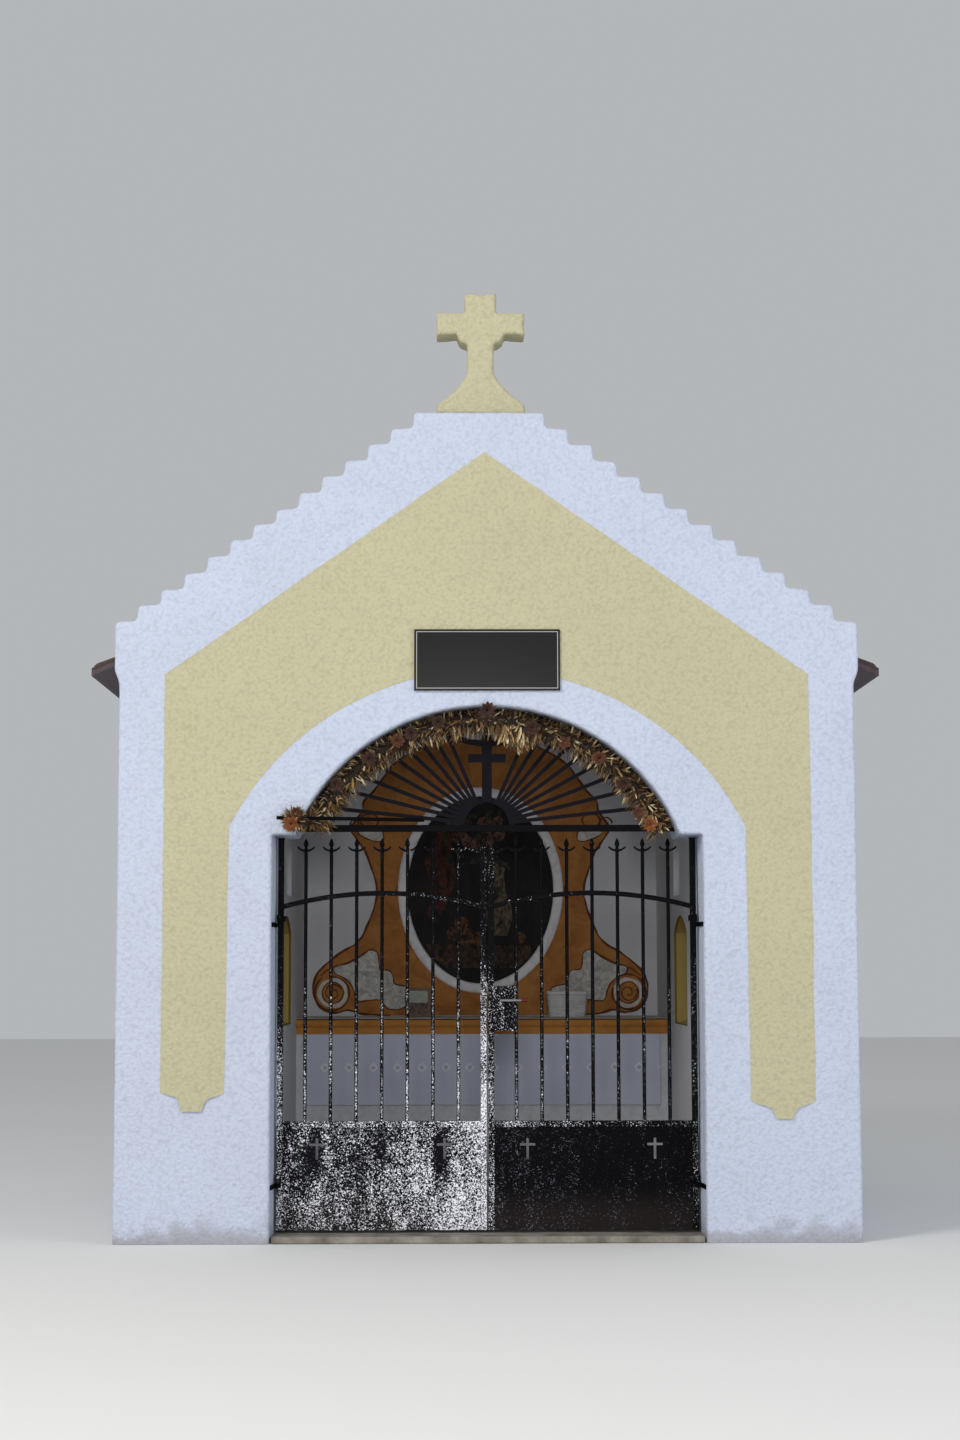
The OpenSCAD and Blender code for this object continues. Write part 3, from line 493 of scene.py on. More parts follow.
def hollow_curve(start, end, sag, count):
    """Points of a curve from start to end that bows by a sag to the left of its run."""
    start, end = np.array(start), np.array(end)
    share = np.linspace(0, 1, count)[:, None]
    run = (end - start) / np.linalg.norm(end - start)
    return start + share * (end - start) + 4 * share * (1 - share) * sag * np.array([-run[1], run[0]])


flare = hollow_curve((0.203, 0.052), (0.063, 0.192), 0.013, 12)
under_arm = hollow_curve((0.063, 0.329), (0.109, 0.375), -0.013, 8)
half_cross = np.concatenate([
    [(0, 0, 0, 0.045), (0.203, 0, 0, 0.045), (0.203, 0.052, 0, 0.062)],
    np.column_stack([flare, np.zeros(12), np.linspace(0.066, 0.192, 12)]),
    np.column_stack([under_arm, np.zeros(8), np.linspace(0.34, 0.427, 8)]),
    [(0.203, 0.367, 0.150, 0.427), (0.203, 0.479, 0.150, 0.427), (0.075, 0.479, 0, 0.427),
     (0.075, 0.568, 0, 0.515), (0, 0.568, 0, 0.515)]])
walk = resample(half_cross, 190)
walk = np.concatenate([walk, (walk * [-1, 1, -1, 1])[-2::-1]])
cross_line = soften(bitten(bitten(walk[:, :2], (0.210, 0.420), 0.016), (0.004, 0.574), 0.020), 2)
cross_way = -edge_normals(cross_line)
cross_line = cross_line - 0.003 * cross_way
cross_edge = cross_line - CROSS_R * cross_way
inset, deep, side, forward = rim_profile(CROSS_R, CROSS_T, 5)
cross_plan = np.concatenate([band(walk[:, 2:], cross_edge, 9)[:, :-1],
                             cross_line[:, None] - cross_way[:, None] * inset[None, :, None],
                             band(cross_edge, walk[:, 2:], 4)[:, 1:]], axis=1)
cross_depth = np.concatenate([np.zeros(8), deep, np.full(3, CROSS_T)])
cross_side = np.concatenate([np.zeros(8), side, np.zeros(3)])
cross_ahead = np.concatenate([np.full(8, -1.0), -forward, np.ones(3)])
cross_size = cross_plan.shape[:2]
cross_points = np.stack([CROSS_X + cross_plan[..., 0], np.broadcast_to(CROSS_FRONT + cross_depth, cross_size),
                         CROSS_Z + cross_plan[..., 1]], axis=-1)
cross_ways = np.stack([cross_way[:, None, 0] * cross_side, np.broadcast_to(cross_ahead, cross_size),
                       cross_way[:, None, 1] * cross_side], axis=-1)
cross_points = uneven(cross_points, cross_ways, 31)
gable_cross = make_piece("gable_cross_plaster", [(cross_points, grid_faces(*cross_size))], yellow_plaster)
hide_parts("gable_cross")


# Threshold and floor: concrete cast between the piers and in the room. The threshold's edges are worn
# round, and both show cloudy tones, small pits and a fine grain.


def concrete(name, light, dark, scale):
    """Trowelled concrete: cloudy tones between two colours, small pits and a fine grain."""
    paint = Paint(name, 0.88)
    tone = paint.ramp(paint.noise(scale, 7.0, 0.65), ((0.32, dark), (0.68, light)))
    pits = paint.add("TexVoronoi", {"Vector": paint.place, "Scale": 90.0}).outputs["Distance"]
    return paint.coat(tone, paint.calc("ADD", pits, paint.noise(260.0, 3.0)), 0.6, 0.0015)


def paint_node(name, paint):
    """Gives a CAD node its procedural material in place of the plain one."""
    nodes[name].data.materials.clear()
    nodes[name].data.materials.append(paint.material)


def eased(node, width, segments, paint, body="root"):
    """A merged copy of a CAD node whose sharp edges get a small bevel. It stands for the node."""
    mesh = nodes[node].data.copy()
    work = bmesh.new()
    work.from_mesh(mesh)
    bmesh.ops.remove_doubles(work, verts=work.verts, dist=2e-5)
    bmesh.ops.dissolve_limit(work, angle_limit=0.01, verts=work.verts, edges=work.edges)
    work.to_mesh(mesh)
    work.free()
    mesh.materials.clear()
    mesh.materials.append(paint.material)
    made = bpy.data.objects.new(node + "_eased", mesh)
    bpy.context.scene.collection.objects.link(made)
    bevel = made.modifiers.new("bevel", "BEVEL")
    bevel.width = width
    bevel.segments = segments
    bevel.limit_method = "ANGLE"
    bevel.angle_limit = math.radians(50)
    mesh.polygons.foreach_set("use_smooth", [True] * len(mesh.polygons))
    mesh.set_sharp_from_angle(angle=math.radians(50))
    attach(made, body)
    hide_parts(node)
    return made


eased("threshold", 0.006, 3, concrete("threshold_concrete", rgb(150, 145, 137), rgb(92, 86, 78), 9.0))
paint_node("floor", concrete("floor_concrete", rgb(150, 147, 142), rgb(104, 100, 95), 4.0))


# Side walls and back wall: masonry with the same rough white plaster outside and smooth limewash inside.
# The two arched niches in the side walls are painted yellow, with a darker olive strip round their edges
# that is painted shade on the reveals next to the wall's face.


def wall_finish():
    """The front's plaster outside; indoors a smooth grey-white, and yellow in the niches' depth, with
    painted shade as a darker olive strip on their reveals next to the wall's face.
    """
    paint = plaster("wall_plaster", LIME, GRAIN, SPATTER, soil=0.5)
    aside = paint.calc("ABSOLUTE", paint.axis("X"))
    outdoors = paint.calc("MAXIMUM", paint.calc("GREATER_THAN", aside, 1.30),
                          paint.calc("GREATER_THAN", paint.axis("Y"), 1.30))
    paint.tree.links.new(paint.remap(outdoors, 0.0, 1.0, 0.12, 1.0), paint.bump.inputs["Strength"])
    limed = paint.mix(paint.noise(2.4, 6.0, 0.6), rgb(226, 228, 232), rgb(205, 207, 212))
    niche = paint.calc("MULTIPLY", paint.calc("LESS_THAN", paint.axis("Z"), 1.50),
                       paint.calc("GREATER_THAN", aside, 0.986))
    # Painted shade: the niches' reveals within 13 mm of the wall's face turn a darker olive.
    edge = paint.mix(paint.calc("GREATER_THAN", aside, 0.999), rgb(132, 108, 52), rgb(187, 166, 101))
    return paint.coat(paint.mix(outdoors, paint.mix(niche, limed, edge), paint.colour))


wall_plaster = wall_finish()
for name in ("left_side_wall", "right_side_wall", "back_wall"):
    paint_node(name, wall_plaster)


# Barrel vault: a shell of bricks over the room, resting on the side walls. It is plastered smooth below
# and limewashed.

paint_node("vault", plaster("vault_lime", rgb(226, 228, 232), 0.02, 0.0010, blotch=0.08))


# Roof boards: dark stained softwood boards, laid lengthwise on the walls and nailed edge to edge. Their
# undersides show below the eaves and past the back wall.

BOARD_T, TILE_T = 0.024, 0.026
ROOF_Y = (-1.230, 1.750)
ROOF_LINE = np.array([(1.820, 2.586), (1.500, 2.7285), (0.0, 3.6298)])


def wood(name, light, dark, stretch_to, rough=0.6):
    """Stained or painted wood: a grain of noise drawn out along one axis, between two tones."""
    paint = Paint(name, rough)
    grain = paint.noise(26.0, 6.0, 0.65, 0.3, paint.scaled(stretch_to))
    return paint.coat(paint.mix(grain, dark, light), grain, 0.5, 0.001)


def slope_run():
    """The way along a slope's line from the eaves to each of its corners."""
    return np.concatenate([[0.0], np.cumsum(np.linalg.norm(np.diff(ROOF_LINE, axis=0), axis=1))])


def board_layer(side):
    """The boards of one slope as one profile carried along the house: level above, with a V-groove below at
    each joint."""
    run = slope_run()
    joints = np.linspace(0.0, run[-1], 18)[1:-1]
    marks = np.sort(np.concatenate([joints - 0.004, joints, joints + 0.004, [0, run[1], run[-1]]]))
    at = np.stack([np.interp(marks, run, ROOF_LINE[:, k]) for k in range(2)], axis=1)
    groove = np.where(np.isin(marks, joints), 0.006, 0.0)
    below = at - [0, TILE_T + BOARD_T] + np.stack([0 * groove, groove], axis=1)
    ring = np.concatenate([below, (at - [0, TILE_T + 0.0005])[::-1]]) * [side, 1]
    ends = np.array(ROOF_Y)[:, None] + np.zeros(len(ring))
    aside, height = (np.broadcast_to(ring[:, k], ends.shape) for k in range(2))
    points = np.stack([aside, ends, height], axis=-1)
    count = len(marks)
    k = np.arange(count - 1)
    cap = np.stack([k, k + 1, 2 * count - 2 - k, 2 * count - 1 - k], axis=1)
    shell = grid_faces(2, 2 * count, close_columns=True)
    if side > 0:
        return points, list(shell[:, ::-1]) + list(cap) + list(cap[:, ::-1] + 2 * count)
    return points, list(shell) + list(cap[:, ::-1]) + list(cap + 2 * count)


board_wood = wood("board_wood", rgb(92, 72, 74), rgb(50, 37, 40), (1.0, 0.06, 1.0))
for side, name in ((-1, "left"), (1, "right")):
    boards = make_piece(name + "_boards", [board_layer(side)], board_wood, crease=20)
    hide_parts(name + "_roof_boards")


# Roof tiles: dark brown plain tiles with rounded tails, hung on battens over the boards. Each course laps
# over the one below, its joints half a tile aside, and a starter course lies at the eaves.

TILE_W, COURSE, TILE_LONG, TILE_THICK = 0.1655, 0.150, 0.190, 0.011


def tile_clay(name, light, dark):
    """Fired clay with a worn engobe: each tile has its own tone from the piece's attribute, with lichen-like
    paler specks and a fine grain."""
    paint = Paint(name, 0.7)
    tone = paint.add("Attribute", attribute_name="tone").outputs["Fac"]
    share = paint.calc("MULTIPLY", tone, paint.noise(14.0, 7.0, 0.7))
    specks = paint.noise(55.0, 4.0, 0.6)
    lichen = paint.remap(specks, 0.66, 0.72, 0.0, 0.35)
    fired = paint.mix(share, dark, light)
    return paint.coat(paint.mix(lichen, fired, rgb(132, 128, 112)), specks, 0.5, 0.0015)


def tile_layer(side):
    """All tiles of one slope: a rim with a segmental tail, copied to each place, laid on the roof's line
    course by course and tilted by the lap. The half tiles at the verges are clipped to the roof's ends."""
    draw = np.random.default_rng(41 + side)
    run = slope_run()
    courses = int((run[-1] - 0.06) / COURSE) + 1
    sweep = np.linspace(-1, 1, 7)
    half = TILE_W / 2 - 0.001
    rim = np.concatenate([np.stack([sweep * half, 0.030 * np.abs(sweep) ** 2.2], axis=1),
                          [(half, TILE_LONG), (-half, TILE_LONG)]])
    n = len(rim)
    spots = [(c, k) for c in range(-1, courses) for k in range(18 + c % 2)]
    course = np.array([c for c, _ in spots])
    across = np.array([ROOF_Y[0] + (k + 0.5 - 0.5 * (c % 2)) * TILE_W for c, k in spots])
    start = np.where(course < 0, 0.0, np.maximum(course, 0) * COURSE)
    turn = draw.uniform(-0.012, 0.012, len(spots))
    drop = draw.uniform(0.0, 0.0012, len(spots))
    y = np.clip(across[:, None] + rim[:, 0] + turn[:, None] * rim[:, 1], ROOF_Y[0], ROOF_Y[1])
    s = np.clip(start[:, None] + rim[:, 1] - turn[:, None] * rim[:, 0] * (rim[:, 1] > 0.05), 0.0, run[-1])
    lap = np.where(course < 0, 0.0, 1.0)[:, None]
    top = lap * (TILE_T - 0.0135 * rim[:, 1] / TILE_LONG) + (1 - lap) * 0.0125 - drop[:, None]
    foot = np.stack([np.interp(s, run, ROOF_LINE[:, k]) for k in range(2)], axis=-1)
    base = foot[..., 1] - TILE_T
    points = np.concatenate([np.stack([side * foot[..., 0], y, base + np.maximum(height, 0.0003)], axis=-1)
                             for height in (top, top - TILE_THICK)], axis=1)
    ring = np.arange(n)
    after = (ring + 1) % n
    one = [ring, ring[::-1] + n] + list(np.stack([ring, ring + n, after + n, after], axis=1))
    faces = [corners[::side] + t * 2 * n for t in range(len(spots)) for corners in one]
    return points.reshape(-1, 3), faces, np.repeat(draw.uniform(0.15, 1.0, len(spots)), 2 * n)


def set_tone(piece, values):
    """Stores one number a vertex in the piece's tone attribute."""
    attribute = piece.data.attributes.new("tone", "FLOAT", "POINT")
    attribute.data.foreach_set("value", np.asarray(values, np.float32))


roof_clay = tile_clay("roof_clay", rgb(104, 74, 66), rgb(44, 32, 32))
for side, name in ((-1, "left"), (1, "right")):
    tile_points, tile_faces, tile_tones = tile_layer(side)
    tiles = make_piece(name + "_tiles", [(tile_points, tile_faces)], roof_clay, crease=25)
    set_tone(tiles, tile_tones)
    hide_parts(name + "_roof_tiles")


# Ridge tiles: half-round clay tiles bedded along the ridge, each with a raised collar that covers the
# next one's end. Each has a tone of its own.

RIDGE_LONG = 0.3725
ridge = eased("ridge_tiles", 0.003, 2, tile_clay("ridge_clay", rgb(98, 70, 62), rgb(46, 33, 32)))
ridge_places = np.empty(3 * len(ridge.data.vertices))
ridge.data.vertices.foreach_get("co", ridge_places)
set_tone(ridge, 0.35 + 0.5 * np.abs(np.sin(np.floor((ridge_places[1::3] - ROOF_Y[0]) / RIDGE_LONG) * 2.3)))


# Plaque: a slab of polished black stone, fixed to the plaster over the door, with a thin pale line cut
# round its edge. It carries no words here.

PLAQUE_HALF, PLAQUE_LOW, PLAQUE_HIGH = 0.325, 2.420, 2.695


def plaque_stone():
    """Polished black stone, whose pale line is where the distance to the nearest edge is about 11 mm."""
    paint = Paint("plaque_stone", 0.22, Specular_IOR_Level=0.25)
    height = paint.axis("Z")
    nearest = paint.calc("MINIMUM", paint.calc("SUBTRACT", height, PLAQUE_LOW),
                         paint.calc("SUBTRACT", PLAQUE_HIGH, height))
    to_side = paint.calc("SUBTRACT", PLAQUE_HALF, paint.calc("ABSOLUTE", paint.axis("X")))
    line = paint.calc("COMPARE", paint.calc("MINIMUM", nearest, to_side), 0.011, 0.0016)
    return paint.coat(paint.mix(line, rgb(14, 14, 17), rgb(176, 174, 168)))


eased("plaque", 0.0015, 2, plaque_stone())


# Side windows: small arched casements of brown painted softwood with one upright bar, set far back in
# the walls, with clear panes behind them.

window_wood = wood("window_wood", rgb(112, 78, 52), rgb(70, 46, 30), (1.0, 1.0, 0.1), 0.5)
pane = Paint("pane_glass", 0.5)
clear = pane.add("BsdfTransparent", {"Color": (0.88, 0.94, 0.95, 1.0)})
gloss = pane.add("BsdfGlossy", {"Color": (1.0, 1.0, 1.0, 1.0), "Roughness": 0.03})
edge_on = pane.add("Fresnel", {"IOR": 1.45})
both = pane.add("MixShader", {0: edge_on.outputs["Fac"], 1: clear.outputs["BSDF"], 2: gloss.outputs["BSDF"]})
pane.tree.links.new(both.outputs["Shader"], pane.tree.nodes["Material Output"].inputs["Surface"])
for side in ("left", "right"):
    eased(side + "_window_frame", 0.003, 2, window_wood)
    paint_node(side + "_window_pane", pane)


# Altar: a block of masonry across the room, limewashed, under a shelf with a round nosing that is painted
# ochre with a dark line and a white line along its top edge.

ALTAR_FRONT, SHELF_TOP = 0.586, 0.930
OCHRE = rgb(205, 142, 72)


def shelf_finish():
    """Ochre paint on plaster; near the nosing's top runs a dark line, and a white one on top of it."""
    paint = plaster("shelf_paint", OCHRE, 0.03, 0.0006, blotch=0.25)
    height = paint.axis("Z")
    dark = paint.calc("MULTIPLY", paint.calc("GREATER_THAN", height, SHELF_TOP - 0.010),
                      paint.calc("LESS_THAN", paint.axis("Y"), ALTAR_FRONT + 0.06))
    white = paint.calc("GREATER_THAN", height, SHELF_TOP - 0.004)
    return paint.coat(paint.mix(white, paint.mix(dark, paint.colour, rgb(96, 58, 30)), rgb(214, 210, 204)))


paint_node("altar_block", plaster("altar_lime", rgb(222, 224, 230), 0.02, 0.0008, blotch=0.08))
paint_node("altar_shelf", shelf_finish())


# Altar cloth: white linen, pinned below the shelf's nosing and hanging in shallow folds before the block.
# A row of crocheted diamonds is let in across it.

CLOTH_HALF, CLOTH_TOP, CLOTH_LOW = 0.946, 0.846, 0.472
CLOTH_FRONT, CLOTH_DEEP = 0.611, 0.008
LACE_Z, LACE_HALF, DIAMOND = 0.670, 0.034, 0.128
MESH_STEP = 0.0064


def cloth_grid():
    """The cloth as depth over (X, Z): two sine folds that deepen towards the foot, plus a few seeded waves.
    Every other mesh in the middle of a crocheted diamond is left open."""
    columns = int(2 * CLOTH_HALF / MESH_STEP) + 1
    rows = int((CLOTH_TOP - CLOTH_LOW) / MESH_STEP) + 1
    x, z = np.meshgrid(np.linspace(-CLOTH_HALF, CLOTH_HALF, columns), np.linspace(CLOTH_LOW, CLOTH_TOP, rows))
    hang = (CLOTH_TOP - z) / (CLOTH_TOP - CLOTH_LOW)
    fold = np.sin(x * 27 + 0.8 * np.sin(x * 5.1)) * 0.6 + np.sin(x * 61 + 1.3) * 0.25
    slow = waves(np.stack([x, 0 * x, z * 0.3], axis=-1).reshape(-1, 3), 52, 0.7, 0.15, 12).reshape(x.shape)
    y = CLOTH_FRONT - CLOTH_DEEP * 0.5 * (1 + np.clip(fold * 0.75 + slow * 0.5, -1, 1) * (0.25 + 0.75 * hang))
    faces = grid_faces(rows, columns)
    i, j = np.divmod(np.arange(len(faces)), columns - 1)
    u = (x[0, j] + MESH_STEP / 2) / DIAMOND
    off = np.abs((u % 1) - 0.5) * DIAMOND + np.abs(z[i, 0] + MESH_STEP / 2 - LACE_Z)
    open_mesh = (off < LACE_HALF * 0.40) & ((i + j) % 2 == 0)
    return np.stack([x, y, z], axis=-1), faces[~open_mesh]


def linen():
    """Bluish white linen with a fine weave in its bump and a soft sheen. The diamonds' crochet is a brighter
    band at one distance, counted along X plus Z, from the middles of the row."""
    paint = Paint("linen", 0.85, Sheen_Weight=0.2)
    tone = paint.mix(paint.noise(5.0, 4.0), rgb(200, 206, 228), rgb(219, 225, 243))
    aside = paint.calc("FRACT", paint.calc("DIVIDE", paint.axis("X"), DIAMOND))
    aside = paint.calc("ABSOLUTE", paint.calc("SUBTRACT", aside, 0.5))
    apart = paint.calc("ABSOLUTE", paint.calc("SUBTRACT", paint.axis("Z"), LACE_Z))
    off = paint.calc("MULTIPLY_ADD", aside, DIAMOND, apart)
    crochet = paint.calc("COMPARE", off, LACE_HALF * 0.6, 0.0055)
    weave = paint.add("TexWave", {"Vector": paint.place, "Scale": 240.0}, bands_direction="X").outputs["Fac"]
    return paint.coat(paint.mix(crochet, tone, rgb(240, 244, 255)), weave, 0.15, 0.0004)


cloth = make_piece("altar_linen", [cloth_grid()], linen())
thickness = cloth.modifiers.new("thickness", "SOLIDIFY")
thickness.thickness = 0.0012
thickness.offset = 0.0
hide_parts("altar_cloth")


# Oval picture and its moulding: a panel painted in oils, dark with age, inside a plain white plaster ring
# with a rounded back. The motif is a jug, fruit, roses and leaves before a curtain.

picture_low, picture_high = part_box("oval_picture")
OVAL_A = picture_high[0]
OVAL_B = (picture_high[2] - picture_low[2]) / 2
OVAL_Z = (picture_high[2] + picture_low[2]) / 2
RING_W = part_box("oval_moulding")[1][0] - OVAL_A
PICTURE_Y, WALL_Y = picture_low[1], picture_high[1]
PAINT_STEP, PAINT_THICK = 0.00004, 0.0004


def moulding(count=128):
    """A profile carried round the oval: out over a half-round ring of the ring's width, and back along the
    wall."""
    bend = np.linspace(0, math.pi, 11)
    grow = np.concatenate([0.5 * RING_W * (1 - np.cos(bend)), [RING_W, 0.0]])
    rise = np.concatenate([0.008 + 0.021 * np.sin(bend) ** 0.7, [0.0, 0.0]])
    angle = np.linspace(0, 2 * math.pi, count, endpoint=False)[:, None]
    points = np.stack([(OVAL_A + grow) * np.cos(angle), WALL_Y - rise + 0 * angle,
                       OVAL_Z + (OVAL_B + grow) * np.sin(angle)], axis=-1)
    return points, grid_faces(count, len(grow), close_rows=True, close_columns=True)


def oil(name, tint, spots, seed):
    """Old varnished oil paint: a tint broken up by dark glaze in brush-like noise."""
    paint = Paint(name, 0.5, Specular_IOR_Level=0.12)
    brush = paint.noise(spots, 5.0, 0.7, 0.8, paint.scaled((1.0, 1.0, 0.6), (seed, seed * 0.37, 0.0)))
    return paint.coat(paint.mix(paint.remap(brush, 0.4, 0.66), rgb(9, 6, 7), tint), brush, 0.3, 0.001)


def flat_shape(outline, front, back):
    """A closed flat piece from an (X, Z) outline, with its front and back at two depths."""
    outline = np.asarray(outline, float)
    turning = np.sum(outline[:, 0] * np.roll(outline[:, 1], -1) - np.roll(outline[:, 0], -1) * outline[:, 1])
    if turning < 0:
        outline = outline[::-1]
    n = len(outline)
    points = np.concatenate([np.column_stack([outline[:, 0], np.full(n, y), outline[:, 1]])
                             for y in (front, back)])
    k = np.arange(n)
    rim = np.stack([k, k + n, (k + 1) % n + n, (k + 1) % n], axis=1)
    return points, [k, k[::-1] + n] + list(rim)


def blob(middle, width, height, power=2.0, count=28, lean=0.0):
    """A rounded outline: a superellipse round a point, leaning by an angle."""
    a = np.linspace(0, 2 * math.pi, count, endpoint=False)
    x = 0.5 * width * np.sign(np.cos(a)) * np.abs(np.cos(a)) ** (2 / power)
    z = 0.5 * height * np.sign(np.sin(a)) * np.abs(np.sin(a)) ** (2 / power)
    return np.stack([middle[0] + x * math.cos(lean) - z * math.sin(lean),
                     middle[1] + x * math.sin(lean) + z * math.cos(lean)], axis=1)


mould = make_piece("oval_ring", [moulding()], plaster("ring_lime", rgb(248, 248, 252), 0.02, 0.0008),
                   crease=60)
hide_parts("oval_moulding")
paint_node("oval_picture", oil("oil_ground", rgb(28, 20, 20), 9.0, 1.0))
draw = np.random.default_rng(61)
leaves = [blob((x, z), 0.085, 0.032, 1.5, 12, lean) for x, z, lean in
          zip(*[draw.uniform(low, high, 20) for low, high in ((-0.20, 0.20), (1.74, 2.06), (-1.5, 1.5))])]
roses = [blob((x, z), size, size * 0.86, 2.2, 14, lean) for x, z, size, lean in
         zip(*[draw.uniform(low, high, 9) for low, high in
               ((-0.17, 0.10), (1.88, 2.03), (0.06, 0.10), (-1.5, 1.5))])]
curtain = [(-0.317, 1.793), (-0.245, 1.948), (-0.174, 2.047), (-0.133, 2.025), (-0.164, 1.859),
           (-0.133, 1.682), (-0.194, 1.538), (-0.245, 1.439), (-0.297, 1.494), (-0.276, 1.660)]
table = [(-0.307, 1.328), (0.317, 1.317), (0.276, 1.256), (0.205, 1.195), (-0.194, 1.195), (-0.266, 1.256)]
jug = [(0.056, 1.372), (0.148, 1.372), (0.176, 1.461), (0.172, 1.549), (0.138, 1.627), (0.131, 1.726),
       (0.153, 1.782), (0.063, 1.782), (0.078, 1.715), (0.072, 1.627), (0.033, 1.549), (0.029, 1.461)]
fruit = [blob((x, z), w, w * 0.94) for x, z, w in ((-0.077, 1.367, 0.104), (-0.148, 1.383, 0.083),
         (-0.010, 1.356, 0.081), (-0.107, 1.444, 0.077), (0.220, 1.361, 0.068))]
picture_parts = (
    ("painted_curtain", rgb(92, 42, 29), 22.0, [curtain], 0.0005),
    ("painted_table", rgb(88, 62, 40), 30.0, [table], 0.0004),
    ("painted_jug", rgb(122, 108, 82), 26.0, [jug], 0.0007),
    ("painted_leaves", rgb(58, 70, 44), 40.0, leaves, 0.0009),
    ("painted_roses", rgb(122, 88, 72), 52.0, roses, 0.0019),
    ("painted_fruit", rgb(124, 82, 44), 48.0, fruit, 0.0012))
for order, (name, tint, spots, outlines, lift) in enumerate(picture_parts):
    fronts = PICTURE_Y - lift - PAINT_STEP * np.arange(len(outlines))
    make_piece(name, [flat_shape(o, front, front + PAINT_THICK) for o, front in zip(outlines, fronts)],
               oil(name, tint, spots, 3.0 + order))


# Painted altar frame: lime paint on the back wall round the oval, made with a brush and a template. An ochre
# field widens below into scrolls, with grey marbled patches, white rings and dark brown outlines.

PAINT_Y = WALL_Y - 0.0012
FIELD_LEFT = [(-.245, 2.475), (-.418, 2.384), (-.493, 2.331), (-.542, 2.263), (-.606, 2.173), (-.658, 2.128),
              (-.659, 2.075), (-.733, 1.971), (-.697, 1.920), (-.642, 1.842), (-.608, 1.747), (-.582, 1.668),
              (-.577, 1.601), (-.598, 1.515), (-.633, 1.430), (-.658, 1.370), (-.709, 1.319), (-.777, 1.285),
              (-.820, 1.251), (-.871, 1.209), (-.913, 1.166), (-.934, 1.100), (-.930, 1.040), (-.905, .985),
              (-.860, .955), (-.800, .945), (-.740, .965), (-.660, .940), (-.500, .932)]
PATCH_LOW = [(-.794, 1.209), (-.745, 1.218), (-.692, 1.242), (-.657, 1.267), (-.615, 1.302), (-.572, 1.284),
             (-.563, 1.184), (-.505, 1.184), (-.486, 1.149), (-.486, 1.106), (-.393, 1.089), (-.384, 1.030),
             (-.393, .988), (-.469, .962), (-.521, .968), (-.563, 1.022), (-.640, 1.014), (-.683, 1.007),
             (-.699, 1.030), (-.708, 1.081), (-.734, 1.123), (-.777, 1.149), (-.819, 1.166), (-.824, 1.201)]
PATCH_TOP = [(-.688, 1.962), (-.640, 1.985), (-.585, 1.975), (-.546, 1.962), (-.540, 1.903), (-.585, 1.898),
             (-.647, 1.920), (-.686, 1.943)]
TAIL = [(-.892, 1.151), (-.853, 1.185), (-.794, 1.209), (-.743, 1.225), (-.692, 1.251), (-.641, 1.285)]
VOLUTE, KNOB, SCROLL, CURL = (-.823, 1.057), (-.453, 1.629), (-.622, 2.017), (-.700, 2.000)


def smooth_loop(corners, step):
    """A closed line through rough corners, resampled at about equal steps and eased by a running mean."""
    corners = np.array(corners, float)
    line = resample(np.concatenate([corners, corners[:1]]), int(6 * len(corners)))[:-1]
    kernel = np.hanning(2 * step + 3)[1:-1]
    kernel /= kernel.sum()
    return sum(w * np.roll(line, k - step, axis=0) for k, w in enumerate(kernel))


def brush_line(path, width, closed, lift, seed=0):
    """A painted line: a flat ribbon along an (X, Z) path whose width swells and thins a little."""
    n = len(path)
    run = (np.roll(path, -1, axis=0) - np.roll(path, 1, axis=0)) if closed else np.gradient(path, axis=0)
    run /= np.maximum(np.linalg.norm(run, axis=1), 1e-9)[:, None]
    way = np.stack([-run[:, 1], run[:, 0]], axis=1)
    k = np.arange(n)
    swell = width / 2 * (1 + 0.25 * np.sin(k * 0.37 + seed) + 0.15 * np.sin(k * 0.91 + 2 * seed))
    depth = np.array([PAINT_Y - lift, PAINT_Y - lift + 0.0006, PAINT_Y - lift + 0.0006, PAINT_Y - lift])
    plan = path[:, None] + way[:, None] * (swell[:, None] * [1.0, 1.0, -1.0, -1.0])[..., None]
    points = np.stack([plan[..., 0], np.broadcast_to(depth, (n, 4)), plan[..., 1]], axis=-1)
    faces = list(grid_faces(n, 4, close_rows=closed, close_columns=True))
    if not closed:
        faces += [(0, 1, 2, 3), (4 * n - 1, 4 * n - 2, 4 * n - 3, 4 * n - 4)]
    return points, faces


def spiral(middle, first, last, turns, start, side):
    """A line that winds from one radius to another round a point, from an angle on."""
    share = np.linspace(0, 1, 54)
    radius = first + (last - first) * share
    angle = start + side * turns * 2 * math.pi * share
    return np.stack([middle[0] + radius * np.cos(angle), middle[1] + radius * np.sin(angle)], axis=1)


def lime_paint(name, tint, darker, scale):
    """Thin lime paint on smooth plaster: cloudy between two tones, with fine streaks."""
    paint = Paint(name, 0.9)
    return paint.coat(paint.mix(paint.remap(paint.noise(scale, 7.0, 0.62, 1.2), 0.35, 0.62), darker, tint))


